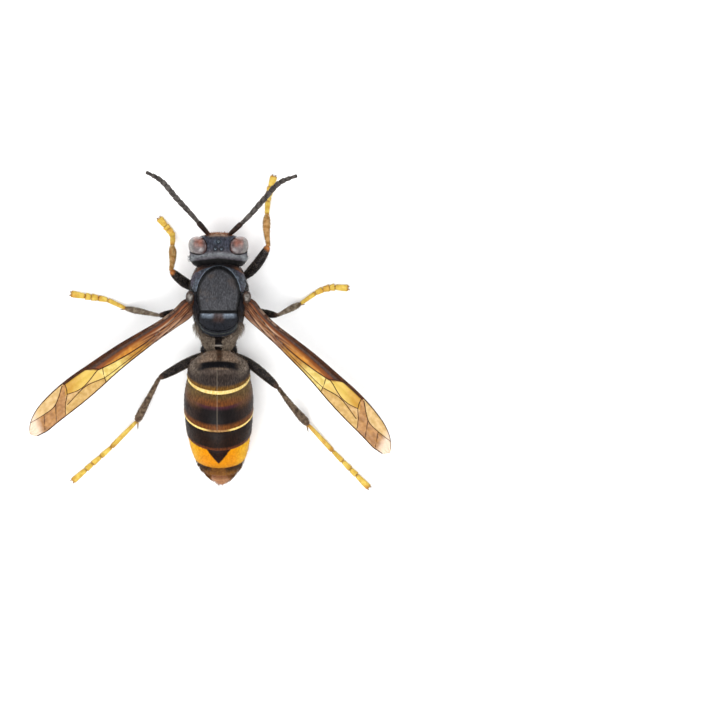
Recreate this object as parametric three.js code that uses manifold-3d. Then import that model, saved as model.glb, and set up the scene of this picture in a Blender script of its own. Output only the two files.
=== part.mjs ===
// A yellow-legged hornet queen at life size, standing with her wings half open.
// Millimetres. +X is her right side, +Y is the way she faces, +Z is up, and the floor is at height 0.

import * as THREE from "three";
import { mergeVertices } from "three/addons/utils/BufferGeometryUtils.js";
import Module from "manifold-3d";

const wasm = await Module();
wasm.setup();

// Driving dimensions
const GAP = 0.25; // between a piece and the piece that it grows from
const WING_THICK = 0.5;
const VEIN_RISE = 0.15; // of the wing's veins above its skin
const FEELER_RADIUS = 0.25;
const FOOT_RADIUS = 0.26;
const BODY_SIDES = 24;
const ABDOMEN_SIDES = 22;

// Half width, front and back of the head at each height from chin to crown
const HEAD_ROWS = [
  [2.7, 1.1, 7.35, 6.0],
  [3.4, 1.95, 7.7, 5.3],
  [4.4, 2.8, 7.8, 4.4],
  [5.5, 3.35, 7.85, 3.7],
  [6.6, 3.55, 7.95, 3.4],
  [7.5, 3.4, 7.9, 3.4],
  [8.2, 2.9, 7.6, 3.95],
  [8.65, 2.0, 7.1, 4.8],
  [8.85, 0.9, 6.6, 5.6],
];
const HEAD_MIDDLE = 6.1; // where the head is widest, along Y
const HEAD_HOLLOW = 1.65; // depth of the hollow behind, which the neck enters
const HOLLOW_REACH = 0.75; // share of the head's half width that the hollow takes
const CROWN_RISE = 0.04; // of the head's upper and lower point over its last ring
const FACE_SQUARE = 0.88; // 1 makes the head's sections oval, less makes them squarer
const NAPE_SQUARE = 0.62;

// Half width and front of the clypeus at each height
const CLYPEUS_ROWS = [
  [3.0, 0.85, 7.8],
  [3.5, 1.2, 8.0],
  [4.3, 1.5, 8.12],
  [5.2, 1.38, 8.08],
  [5.9, 0.9, 7.98],
  [6.2, 0.5, 7.85],
];
const CLYPEUS_BED = 7.35;
const CLYPEUS_ROOT = 0.35;
const CLYPEUS_NOTCH = 0.35;
const NOTCH_REACH = 0.4; // share of the clypeus's half width that the notch takes

const OCELLI = [[0, 6.95, 8.66], [-0.42, 6.05, 8.71], [0.42, 6.05, 8.71]];
const OCELLUS_RADII = [0.24, 0.24, 0.22];

// The right eye from its lower end to its upper one, with its half width and half depth on the way
const EYE_PATH = [[2.45, 7, 4.25], [2.95, 6.85, 5.4], [3.08, 6.6, 6.6], [2.75, 6.45, 7.6], [2.2, 6.5, 8.15]];
const EYE_ROWS = [[0, 0.55, 0.35], [0.25, 0.85, 0.55], [0.5, 0.98, 0.6], [0.8, 0.95, 0.55], [1, 0.75, 0.45]];

// The right jaw from its hinge to its tip
const JAW_PATH = [[1.75, 6.7, 3.5], [1.65, 7.2, 2.75], [1.05, 7.65, 2.15], [0.38, 7.85, 1.85]];
const JAW_ROWS = [[0, 0.42, 0.6], [0.3, 0.38, 0.62], [0.65, 0.32, 0.55], [0.9, 0.24, 0.42], [1, 0.2, 0.3]];

// Half width, top and bottom of the whole thorax, from its hind end to the collar
const THORAX_ROWS = [
  [-6.1, 1.5, 5.3, 4.2],
  [-5.4, 2.05, 6.5, 3.8],
  [-4.6, 2.42, 7.35, 3.5],
  [-3.7, 2.65, 8.35, 3.2],
  [-2.5, 3.0, 9.3, 3.05],
  [-1.0, 3.2, 9.6, 3.0],
  [0.4, 3.3, 9.55, 3.05],
  [1.8, 3.55, 9.1, 3.2],
  [3.0, 3.2, 8.4, 3.6],
  [3.7, 2.75, 7.8, 4.1],
  [4.2, 2.3, 7.0, 4.7],
];
const THORAX_SQUARE = 0.86; // 1 makes its sections oval, less makes them squarer
const NECK_PATH = [[0, 3.6, 5.8], [0, 5.8, 6.1]];
const NECK_ROWS = [[0, 1.05, 1.05], [1, 1.0, 1.0]];

// Half width, height above and depth below the middle, height of the middle, lean of the section,
// and shift to the right, from the waist to the sting
const ABDOMEN_ROWS = [
  [6.3, 0.5, 0.45, 0.45, 5.0, 0, 0],
  [6.75, 1.2, 1.3, 0.9, 5.05, 0.05, 0],
  [7.05, 2.4, 2.1, 1.3, 5.1, 0.1, 0],
  [7.5, 3.25, 2.8, 1.75, 5.1, 0.2, 0],
  [8.2, 3.7, 3.4, 2.3, 5.1, 0.35, 0],
  [9.6, 3.8, 3.7, 2.95, 5.1, 0.46, 0],
  [12, 4.17, 3.9, 3.45, 5.0, 0.47, 0],
  [14, 4.12, 3.85, 3.35, 4.8, 0.47, 0],
  [16.5, 3.75, 3.4, 2.75, 4.3, 0.45, 0.05],
  [19.4, 2.87, 2.2, 1.75, 3.4, 0.28, 0.15],
  [20.8, 1.95, 1.5, 1.25, 3.0, 0.2, 0.2],
  [21.7, 1.0, 0.8, 0.75, 2.7, 0.1, 0.27],
  [22.2, 0.3, 0.3, 0.3, 2.55, 0, 0.3],
];
const SEGMENT_ENDS = [6.3, 9.6, 14, 16.5, 19.1, 20.8, 22.2]; // distance behind the origin
const SEGMENT_RINGS = [9, 7, 5, 6, 4, 5];
const SEGMENT_FLARE = 0.035; // by which a segment's hind edge stands out over the next one's front

// The joints of each leg, from the hip to the claws
const LEGS = {
  fore_left: {
    hip: [-1.2, 2.9, 3.8],
    trochanter: [-2.4, 1.3, 2.3],
    knee: [-5.72, 3.5, 5.1],
    ankle: [-5.6, 6.5, 2.2],
    sole: [-5.6, 7.9, 0.22],
    toe: [-7.2, 9.85, 0.22],
    bow: -0.35,
    heel: 0.25,
    curl: 0,
  },
  fore_right: {
    hip: [1.2, 2.9, 3.8],
    trochanter: [2.8, 2.5, 2.3],
    knee: [5.97, 6.45, 4.6],
    ankle: [5.78, 10.24, 2.2],
    sole: [5.95, 12.5, 0.22],
    toe: [6.6, 14.9, 0.22],
    bow: 0.35,
    heel: 0.25,
    curl: 0,
  },
  mid_left: {
    hip: [-1.2, -0.3, 3.5],
    trochanter: [-2.7, -1.2, 2.1],
    knee: [-7.1, -1.87, 4.9],
    ankle: [-11.2, -1.02, 0.8],
    sole: [-13.4, 0, 0.22],
    toe: [-17.8, 0.74, 0.22],
    bow: 0,
    heel: 0.15,
    curl: 0,
  },
  mid_right: {
    hip: [1.2, -0.3, 3.5],
    trochanter: [2.7, -1.2, 2.1],
    knee: [7.05, -1.87, 4.9],
    ankle: [9.76, -0.48, 0.8],
    sole: [12.0, 1.05, 0.22],
    toe: [15.55, 1.42, 0.22],
    bow: 0,
    heel: 0.15,
    curl: -0.3,
  },
  hind_left: {
    hip: [-1.1, -3.3, 3.5],
    trochanter: [-1.85, -6.5, 2.7],
    knee: [-7.15, -9.4, 5.0],
    ankle: [-9.88, -14.58, 0.95],
    sole: [-13.0, -17.75, 0.22],
    toe: [-17.6, -21.8, 0.22],
    bow: 0,
    heel: 0.12,
    curl: 0,
  },
  hind_right: {
    hip: [1.1, -3.3, 3.5],
    trochanter: [1.85, -6.5, 2.7],
    knee: [7.15, -10.55, 5.0],
    ankle: [10.7, -14.95, 0.95],
    sole: [13.85, -18.35, 0.22],
    toe: [18.05, -22.6, 0.22],
    bow: -0.3,
    heel: 0.12,
    curl: 0,
  },
};
const LEG_SIZES = {
  fore: { coxa: 0.72, femur: 0.56, tibia: 0.38, spur: 0, spurOut: 0 },
  mid: { coxa: 0.72, femur: 0.5, tibia: 0.42, spur: 0.7, spurOut: 0.2 },
  hind: { coxa: 0.75, femur: 0.52, tibia: 0.46, spur: 1.15, spurOut: -0.55 },
};
// Half width and half depth along each piece, as shares of its widest
const COXA_ROWS = [[0, 1, 1], [0.55, 0.85, 0.85], [0.72, 0.55, 0.55], [0.85, 0.66, 0.66], [1, 0.5, 0.5]];
const FEMUR_ROWS = [[0, 0.58, 0.54], [0.2, 0.85, 0.8], [0.45, 1, 0.92], [0.8, 0.82, 0.75], [1, 0.7, 0.66]];
const TIBIA_ROWS = [[0, 0.64, 0.64], [0.12, 0.6, 0.6], [0.4, 0.85, 0.8], [0.72, 1, 0.9], [1, 0.85, 0.8]];
const THIGH_RISE = 0.15; // of its middle over a straight line
const SHIN_RISE = 0.12;
const SPUR_ROWS = [[0, 0.2, 0.2], [1, 0.06, 0.06]];
const SPUR_ROOT = 0.93; // where it leaves the shin, as a share of the shin's length
const SPUR_DROP = 0.25; // of its tip behind the line of the shin
const SPUR_FLOOR = 0.12; // lowest height of its tip
const TOE_SHARES = [0.47, 0.17, 0.12, 0.08, 0.16]; // of the five joints of a foot
// Thickness along each joint, as a share of the foot's
const TOE_ROWS = [[0.12, 0.72], [0.7, 0.95], [0.96, 1]];
// How far ahead of the toe, aside and above the floor the root, bend and tip of a claw are
const CLAW_PATH = [[-0.2, 0.06, 0.26], [0.25, 0.27, 0.3], [0.55, 0.42, 0.1]];
const CLAW_ROWS = [[0, 0.14, 0.14], [1, 0.05, 0.05]];

// The feelers: root, elbow and a few bends of the whip
const FEELERS = {
  left: {
    root: [-0.9, 7.5, 6.5],
    elbow: [-2.47, 9.34, 7.6],
    whip: [[-2.77, 9.7, 7.8], [-5.1, 12.25, 8.2], [-7.0, 14.4, 7.7], [-8.67, 15.3, 6.9]],
  },
  right: {
    root: [0.95, 7.5, 6.5],
    elbow: [2.77, 9.16, 7.6],
    whip: [[3.2, 9.55, 7.8], [5.42, 12.0, 8.2], [7.4, 14.1, 7.7], [9.4, 14.88, 6.9]],
  },
};
const STEM_RISE = 0.1;
const STEM_ROWS = [[0, 0.25, 0.25], [0.3, 0.27, 0.27], [0.8, 0.33, 0.33], [1, 0.3, 0.3]];
const WHIP_SHARES = [0.05, 0.14, 0.1, 0.095, 0.09, 0.09, 0.088, 0.085, 0.085, 0.08, 0.097];
const WHIP_ROWS = [[0.12, 0.88], [0.9, 1]];

// A forewing lies along its span and across its chord, from a pivot beside the thorax.
const WING_PIVOT = [3.85, -0.72, 7.55];
const WING_SWEEP = { left: 40, right: 47.2 }; // degrees behind straight out
const WING_DROP = 0.04; // of its height for each millimetre of span
const WING_CAMBER = 0.15;
const VEIN_HALF = 0.2; // half the width of a vein's ridge
// Each crossing line meets the hind edge, lower vein, middle vein and front edge at these spans,
// and it is a vein from the first to the last of the rows named after them.
const FOREWING_LINES = [
  [-1.15, -1.15, -1.15, -1.15],
  [0, 0, 0, -0.3],
  [1.6, 1.6, 1.6, 1.6],
  [3.6, 3.6, 3.6, 3.6],
  [6.0, 6.0, 6.0, 6.0],
  [8.6, 8.6, 8.6, 8.6],
  [11.2, 11.2, 11.0, 11.6],
  [13.3, 13.15, 12.8, 14.9, "lower", "front"],
  [16.0, 15.9, 15.6, 16.2],
  [18.5, 18.4, 18.0, 17.2, "lower", "front"],
  [20.9, 20.2, 19.4, 18.9, "hind", "middle"],
  [22.6, 22.2, 21.6, 21.3, "hind", "middle"],
  [23.5, 23.4, 23.1, 22.9],
  [24.0, 24.15, 24.25, 24.1],
];
const FOREWING_HIND = [
  [-1.15, -0.3],
  [0, -0.65],
  [2, -0.95],
  [6, -0.9],
  [11, -0.78],
  [15.7, -0.95],
  [20.5, -0.8],
  [23.4, -0.65],
  [24.0, -0.3],
];
const FOREWING_FRONT = [
  [-1.15, 0.4],
  [-0.3, 0.68],
  [1.6, 0.55],
  [3.65, 0.68],
  [6.35, 1.15],
  [9.12, 1.63],
  [13.4, 2.12],
  [16.3, 2.4],
  [19.5, 2.38],
  [21.7, 2.06],
  [23.1, 1.5],
  [24.1, 0.65],
];
const MIDDLE_VEIN = [
  [-1.15, 0.1],
  [1.6, -0.12],
  [6.0, -0.3],
  [8.9, 0.0],
  [11.0, 0.42],
  [12.8, 0.95],
  [15.6, 0.6],
  [18.0, 1.0],
  [19.4, 1.15],
  [21.6, 1.15],
  [23.1, 1.0],
  [24.25, 0.35],
];
const LOWER_VEIN = [
  [-1.15, -0.15],
  [1.6, -0.5],
  [6.0, -0.58],
  [11.2, -0.4],
  [13.15, -0.35],
  [14.8, 0.05],
  [16.4, 0.2],
  [18.4, 0.2],
  [20.2, 0.3],
  [22.2, 0.1],
  [24.15, 0.05],
];
// Where each of these veins is raised
const VEIN_SPANS = { front: [-2, 25], middle: [0.5, 23.3], lower: [12.6, 18.6] };
const SPLIT_STRETCHES = [3, 4, 5]; // long stretches between two crossing lines, which get a line halfway

const HINDWING_DEPTH = 0.78; // of its middle plane under the forewing's
const HINDWING_COLUMNS = 15;
const HINDWING_LINES = 6; // from its hind edge to its front edge
const HINDWING_VEIN = 4; // the line that is raised
const HINDWING_RISE = 0.09;
const HINDWING_HIND = [
  [-1.3, -1.1],
  [0.4, -1.7],
  [2.2, -1.45],
  [5, -1.05],
  [10, -0.7],
  [14, -0.35],
  [15, 0.1],
];
const HINDWING_FRONT = [
  [-1.3, -0.35],
  [0.5, 0.2],
  [4, 0.5],
  [8, 0.85],
  [12, 0.95],
  [14.3, 0.75],
  [15, 0.3],
];

// The scale over the root of a wing
const TEGULA = { centre: [3.5, 0.32, 8.15], radii: [0.62, 0.85, 0.5], tilt: 0.35 };

const UP = new THREE.Vector3(0, 0, 1);
const SIDES = { left: -1, right: 1 };

// A value between the rows of a table, each row a place and what is measured there
function profile(rows, Interpolant = THREE.CubicInterpolant) {
  const places = rows.map((row) => row[0]);
  const values = rows.flatMap((row) => row.slice(1));
  const size = rows[0].length - 1;
  const curve = new Interpolant(places, values, size, new Float64Array(size));
  return (place) => [...curve.evaluate(place)];
}

function list(count, value) {
  return Array.from({ length: count }, (_, k) => value(k));
}

function even(count, from, to) {
  return list(count, (k) => from + ((to - from) * k) / (count - 1));
}

function softened(value, power) {
  return Math.sign(value) * Math.abs(value) ** power;
}

function mirrored([x, y, z], side) {
  return [x * side, y, z];
}

function vector(point) {
  return new THREE.Vector3(...point);
}

// The point a share of the way from one joint to the next, moved sideways by a bow and upwards by a rise
function between(from, to, share, bow = 0, rise = 0) {
  const way = vector(to).sub(vector(from));
  const sideways = new THREE.Vector3().crossVectors(way, UP).normalize();
  const place = vector(from).addScaledVector(way, share).addScaledVector(sideways, bow);
  return [place.x, place.y, place.z + rise];
}

// A closed surface with its faces turned outwards, as a solid that can be joined and cut
function solid(geometry) {
  const bare = geometry.clone();
  bare.deleteAttribute("normal");
  bare.deleteAttribute("uv");
  const welded = mergeVertices(bare, 1e-5);
  const corners = Uint32Array.from(welded.index.array);
  const make = () =>
    new wasm.Manifold(
      new wasm.Mesh({
        numProp: 3,
        vertProperties: Float32Array.from(welded.attributes.position.array),
        triVerts: corners,
      }),
    );
  const first = make();
  if (first.volume() > 0) {
    return first;
  }
  corners.reverse();
  return make();
}

// Where a piece falls into several bodies, its largest is the piece.
function largest(body) {
  return body.decompose().reduce((big, next) => (next.volume() > big.volume() ? next : big));
}

function cut(body, ...tools) {
  return largest(tools.reduce((rest, tool) => rest.subtract(tool), body));
}

function joined(body, ...additions) {
  return largest(additions.reduce((sum, addition) => sum.add(addition), body));
}

// A closed skin with a ring of points at each stop and a point that closes each end
function skin(stops, sides, point) {
  const steps = stops.length + 1;
  const ball = new THREE.SphereGeometry(1, sides, steps);
  ball.deleteAttribute("normal");
  ball.deleteAttribute("uv");
  const geometry = mergeVertices(ball, 1e-4);
  const places = geometry.attributes.position;
  const vertex = new THREE.Vector3();
  for (let k = 0; k < places.count; k += 1) {
    vertex.fromBufferAttribute(places, k);
    const ring = Math.round((Math.acos(THREE.MathUtils.clamp(vertex.y, -1, 1)) / Math.PI) * steps);
    const stop = stops[THREE.MathUtils.clamp(ring, 1, steps - 1) - 1];
    const reach = ring > 0 && ring < steps ? 1 : 0;
    const moved = point(stop, Math.atan2(vertex.z, vertex.x), reach);
    places.setXYZ(k, moved.x, moved.y, moved.z);
  }
  return solid(geometry);
}

// Stops from 0 to 1, closer together towards both ends
function roundStops(count) {
  return list(count, (k) => (1 - Math.cos((Math.PI * (k + 1)) / (count + 1))) / 2);
}

function oval(centre, radii, { sides = 12, rings = 7, grow = 0, tilt = 0 } = {}) {
  const [rx, ry, rz] = radii.map((radius) => radius + grow);
  return skin(roundStops(rings), sides, (stop, turn, reach) => {
    const height = reach ? 1 - 2 * stop : Math.sign(0.5 - stop);
    const round = Math.sqrt(1 - height * height);
    const place = new THREE.Vector3(rx * round * Math.cos(turn), ry * round * Math.sin(turn), rz * height);
    return place.applyAxisAngle(new THREE.Vector3(0, 1, 0), tilt).add(vector(centre));
  });
}

// A closed tube along a smooth line through the points. Its widths table gives, along its length
// from 0 to 1, half its width and half its depth, and both ends are rounded.
function limb(points, widths, options = {}) {
  const { sides = 8, up = UP, grow = 0, stops = roundStops(8), turned = 0, floor = -Infinity } = options;
  const line = new THREE.CatmullRomCurve3(
    points.map(vector),
    false,
    "centripetal",
  );
  const length = line.getLength();
  const sizes = profile(widths, THREE.LinearInterpolant);
  return skin(stops, sides, (stop, turn, reach) => {
    const along = reach ? stop : Math.round(stop);
    const forward = line.getTangentAt(along);
    const sideways = new THREE.Vector3().crossVectors(forward, up).normalize();
    const upwards = new THREE.Vector3().crossVectors(sideways, forward);
    const [half, deep] = sizes(along);
    const end = Math.min(along, 1 - along) * length;
    const round = reach * Math.sqrt(1 - Math.max(0, 1 - end / half) ** 2);
    const place = line.getPointAt(along);
    place.addScaledVector(sideways, Math.cos(turn + turned) * round * (half + grow));
    place.addScaledVector(upwards, Math.sin(turn + turned) * round * (deep + grow));
    place.addScaledVector(forward, grow * (2 * along - 1));
    place.z = Math.max(place.z, floor);
    return place;
  });
}

// A closed plate: the same grid of points on both faces, and a rim between them
function plate(columns, rows, point) {
  const grid = new THREE.PlaneGeometry(1, 1, columns - 1, rows - 1);
  const count = columns * rows;
  const upper = [...grid.index.array];
  const edges = new Map();
  const corners = [];
  for (let k = 0; k < upper.length; k += 3) {
    const [a, b, c] = upper.slice(k, k + 3);
    corners.push(a, b, c, c + count, b + count, a + count);
    for (const [from, to] of [[a, b], [b, c], [c, a]]) {
      edges.set(`${from} ${to}`, [from, to]);
    }
  }
  for (const [from, to] of edges.values()) {
    if (!edges.has(`${to} ${from}`)) {
      corners.push(to, from, from + count, to, from + count, to + count);
    }
  }
  const places = [];
  for (const face of [1, -1]) {
    for (let row = 0; row < rows; row += 1) {
      for (let column = 0; column < columns; column += 1) {
        places.push(...point(column, row, face));
      }
    }
  }
  const geometry = new THREE.BufferGeometry();
  geometry.setAttribute("position", new THREE.Float32BufferAttribute(places, 3));
  geometry.setIndex(corners);
  return solid(geometry);
}

// A straight-sided block over an outline of X and Y, or of Y and Z where it runs along X
function block(outline, from, to, alongX = false) {
  const geometry = new THREE.ExtrudeGeometry(outline, {
    depth: to - from,
    bevelEnabled: false,
    curveSegments: 12,
  });
  geometry.translate(0, 0, from);
  if (alongX) {
    const [x, y, z] = [new THREE.Vector3(1, 0, 0), new THREE.Vector3(0, 1, 0), UP];
    geometry.applyMatrix4(new THREE.Matrix4().makeBasis(y, z, x));
  }
  return solid(geometry);
}

function box([x0, y0, z0], [x1, y1, z1], grow = 0) {
  const geometry = new THREE.BoxGeometry(x1 - x0 + 2 * grow, y1 - y0 + 2 * grow, z1 - z0 + 2 * grow);
  geometry.translate((x0 + x1) / 2, (y0 + y1) / 2, (z0 + z1) / 2);
  return solid(geometry);
}

const hornet = new THREE.Group();

function add(name, body, material) {
  const { vertProperties, triVerts } = body.getMesh();
  const geometry = new THREE.BufferGeometry();
  geometry.setAttribute("position", new THREE.Float32BufferAttribute(vertProperties, 3));
  geometry.setIndex([...triVerts]);
  geometry.computeVertexNormals();
  const mesh = new THREE.Mesh(geometry, material);
  mesh.name = name;
  hornet.add(mesh);
}

function finish(color, roughness) {
  return new THREE.MeshStandardMaterial({ color, roughness, metalness: 0 });
}

const black = finish(0x1d1a1b, 0.45);
const velvet = finish(0x232026, 0.6);
const darkBrown = finish(0x37241a, 0.4);
const banded = finish(0x4a2f1d, 0.4);
const gold = finish(0xc98a2e, 0.4);
const orange = finish(0xc06a20, 0.45);
const yellow = finish(0xe3c02f, 0.45);
const eyeRed = finish(0x5a2418, 0.2);
const amber = finish(0xb98a50, 0.25);

// The head, hollowed behind for the neck
function headForm(grow = 0) {
  const sizes = profile(HEAD_ROWS);
  const [low, high] = [HEAD_ROWS[0][0], HEAD_ROWS.at(-1)[0]];
  const stops = roundStops(13).map((share) => low + (high - low) * share);
  return skin(stops, BODY_SIDES, (height, turn, reach) => {
    const [half, front, back] = sizes(height);
    const across = Math.cos(turn);
    const ahead = Math.sin(turn);
    const depth = ahead > 0 ? front - HEAD_MIDDLE : HEAD_MIDDLE - back;
    const inner = Math.max(0, 1 - (across / HOLLOW_REACH) ** 2);
    const lift = THREE.MathUtils.smoothstep(Math.min(high - height, height - low), 0, 1);
    const hollow = ahead < 0 ? HEAD_HOLLOW * lift * inner ** 1.5 : 0;
    const square = ahead > 0 ? FACE_SQUARE : NAPE_SQUARE;
    const end = Math.sign(height - (low + high) / 2) * (grow + (reach ? 0 : CROWN_RISE));
    return new THREE.Vector3(
      softened(across, square) * (half + grow) * reach,
      HEAD_MIDDLE + (softened(ahead, square) * (depth + grow) + hollow) * reach,
      height + end,
    );
  });
}

function eyeForm(side, grow = 0) {
  const points = EYE_PATH.map((point) => mirrored(point, side));
  const outwards = new THREE.Vector3(side, 0, 0);
  return limb(points, EYE_ROWS, { sides: 12, up: outwards, stops: roundStops(9), grow });
}

// The shield over the mouth: domed, broad in the middle and notched at its lower edge
function clypeusForm(grow = 0) {
  const sizes = profile(CLYPEUS_ROWS);
  const [low, high] = [CLYPEUS_ROWS[0][0], CLYPEUS_ROWS.at(-1)[0]];
  return skin(roundStops(8), 14, (share, turn, reach) => {
    const along = reach ? share : Math.round(share);
    const height = low + (high - low) * along;
    const [half, front] = sizes(height);
    const ahead = Math.sin(turn);
    const depth = ahead > 0 ? front - CLYPEUS_BED : CLYPEUS_ROOT;
    const notch = CLYPEUS_NOTCH * (1 - along) ** 4 * Math.max(0, 1 - (Math.cos(turn) / NOTCH_REACH) ** 2);
    return new THREE.Vector3(
      softened(Math.cos(turn), FACE_SQUARE) * (half + grow) * reach,
      CLYPEUS_BED + ahead * (depth + grow) * reach,
      height + notch + grow * (2 * along - 1),
    );
  });
}

function buildHead() {
  const ocelli = OCELLI.map((centre) => oval(centre, OCELLUS_RADII, { sides: 8, rings: 5 }));
  const eyes = Object.values(SIDES).map((side) => eyeForm(side, GAP));
  add("head", cut(joined(headForm(), ...ocelli), ...eyes, clypeusForm(GAP)), black);
  add("clypeus", clypeusForm(), orange);
  for (const [name, side] of Object.entries(SIDES)) {
    add(`eye_${name}`, eyeForm(side), eyeRed);
    const jaw = limb(JAW_PATH.map((point) => mirrored(point, side)), JAW_ROWS, { sides: 10 });
    add(`mandible_${name}`, cut(jaw, headForm(GAP), clypeusForm(GAP)), orange);
  }
}

// The thorax whole, before it is parted into its plates
function thoraxForm(grow = 0) {
  const sizes = profile(THORAX_ROWS);
  const [back, front] = [THORAX_ROWS[0][0], THORAX_ROWS.at(-1)[0]];
  const stops = even(18, back, front);
  return skin(stops, BODY_SIDES, (y, turn, reach) => {
    const [half, top, bottom] = sizes(y);
    const middle = (top + bottom) / 2;
    return new THREE.Vector3(
      softened(Math.cos(turn), THORAX_SQUARE) * (half + grow) * reach,
      y + (y === back ? -grow : 0) + (y === front ? grow : 0),
      middle + softened(Math.sin(turn), THORAX_SQUARE) * ((top - bottom) / 2 + grow) * reach,
    );
  });
}

// The blocks that part the thorax: each plate lies in its own block, half a gap in from its faces.
const SKY = 12; // above the thorax
const WIDE = 6; // beyond its sides
const PROPODEUM = { front: -4.1, back: -8 };
const SHIELD = { half: 2.45, front: 3.55, shoulder: 0.9, back: -1.45, floor: 7.3 };
const SADDLE = { half: 2.35, shoulder: -2.3, back: -3.75, floor: 7.6 };
const BAND = { half: 2.35, shoulder: -2.9, back: -4.5, floor: 6.6 };
// The hind edge of the collar seen from the side, as places along Y and heights
const COLLAR_EDGE = [[0.9, SKY], [0.9, 7.7], [3.2, 5.0], [WIDE, 4.5]];

// An arch: a straight edge, two sides, and a round end past the shoulder
function archBlock(edge, { half, shoulder, floor }, end, grow) {
  const way = Math.sign(end - edge);
  const outline = new THREE.Shape();
  outline.moveTo(half + grow, edge - way * grow);
  outline.lineTo(half + grow, shoulder);
  outline.absellipse(0, shoulder, half + grow, Math.abs(end - shoulder) + grow, 0, way * Math.PI, way < 0);
  outline.lineTo(-half - grow, edge - way * grow);
  outline.closePath();
  return block(outline, floor - grow, SKY);
}

function collarBlock(grow) {
  const outline = new THREE.Shape();
  outline.moveTo(WIDE, SKY);
  COLLAR_EDGE.forEach(([y, z]) => outline.lineTo(y - grow, z - grow));
  outline.closePath();
  return block(outline, -WIDE, WIDE, true);
}

function buildThorax() {
  const whole = thoraxForm();
  const shield = (grow) => archBlock(SHIELD.back, SHIELD, SHIELD.front, grow);
  const saddle = (grow) => archBlock(SHIELD.back, SADDLE, SADDLE.back, grow);
  const band = (grow) => archBlock(SADDLE.shoulder, BAND, BAND.back, grow);
  const rear = (grow) => box([-WIDE, PROPODEUM.back, 0], [WIDE, PROPODEUM.front, SKY], grow);
  const inner = -GAP / 2;
  const outer = GAP / 2;
  const head = headForm(GAP);
  add("mesoscutum", largest(whole.intersect(shield(inner))), velvet);
  add("scutellum", largest(whole.intersect(saddle(inner))), velvet);
  add("metanotum", cut(whole.intersect(band(inner)), saddle(outer)), velvet);
  add("propodeum", cut(whole.intersect(rear(inner)), band(outer)), black);
  add("pronotum", cut(whole.intersect(collarBlock(inner)), shield(outer), head), black);
  const plates = [shield, saddle, band, rear, collarBlock].map((form) => form(outer));
  add("thorax", cut(whole, ...plates, head), black);
  add("neck", cut(limb(NECK_PATH, NECK_ROWS, { sides: 12 }), thoraxForm(GAP), head), black);
}

function abdomenSegment(index) {
  const sizes = profile(ABDOMEN_ROWS);
  const from = SEGMENT_ENDS[index] + (index > 0 ? GAP : 0);
  const to = SEGMENT_ENDS[index + 1];
  const stops = even(SEGMENT_RINGS[index], 0, 1);
  return skin(stops, ABDOMEN_SIDES, (share, turn, reach) => {
    const back = from + (to - from) * share;
    const [half, above, below, middle, lean, shift] = sizes(back);
    const tucked = index > 0 ? 1 - SEGMENT_FLARE * (1 - share) ** 2 : 1;
    const rise = Math.sin(turn) > 0 ? above : below;
    const height = Math.sin(turn) * rise * tucked * reach;
    return new THREE.Vector3(
      shift + Math.cos(turn) * half * tucked * reach,
      -back - lean * height,
      middle + height,
    );
  });
}

function buildAbdomen() {
  const colours = [darkBrown, banded, darkBrown, gold, darkBrown, banded];
  colours.forEach((colour, index) => add(`abdomen_${index + 1}`, abdomenSegment(index), colour));
}

// A rod of joints, each widening to its end by the rows of a table
function jointed(shares, rows, radius) {
  const stops = [];
  const widths = [[0, radius * rows[0][1], radius * rows[0][1]]];
  let start = 0;
  for (const share of shares) {
    for (const [place, size] of rows) {
      stops.push(start + share * place);
      widths.push([start + share * place, radius * size, radius * size]);
    }
    start += share;
  }
  return { stops, widths };
}

// A foot of five joints with a pair of claws
function footForm({ ankle, sole, toe, heel, curl }) {
  const { stops, widths } = jointed(TOE_SHARES, TOE_ROWS, FOOT_RADIUS);
  const path = [ankle, between(ankle, sole, 0.5, 0, heel), sole, between(sole, toe, 0.5, curl), toe];
  const foot = limb(path, widths, { sides: 6, stops, turned: Math.PI / 6, floor: 0 });
  const forward = vector(toe).sub(vector(sole)).setZ(0).normalize();
  const sideways = new THREE.Vector3().crossVectors(forward, UP);
  const claws = Object.values(SIDES).map((side) => {
    const points = CLAW_PATH.map(([ahead, aside, height]) => {
      const place = vector(toe).addScaledVector(forward, ahead).addScaledVector(sideways, side * aside);
      return [place.x, place.y, height];
    });
    return limb(points, CLAW_ROWS, { sides: 5, stops: roundStops(4), floor: 0 });
  });
  return joined(foot, ...claws);
}

// Half width and half depth along a piece of leg, from shares of its widest
function tapered(widest, rows) {
  return rows.map(([share, half, deep]) => [share, widest * half, widest * deep]);
}

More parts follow.
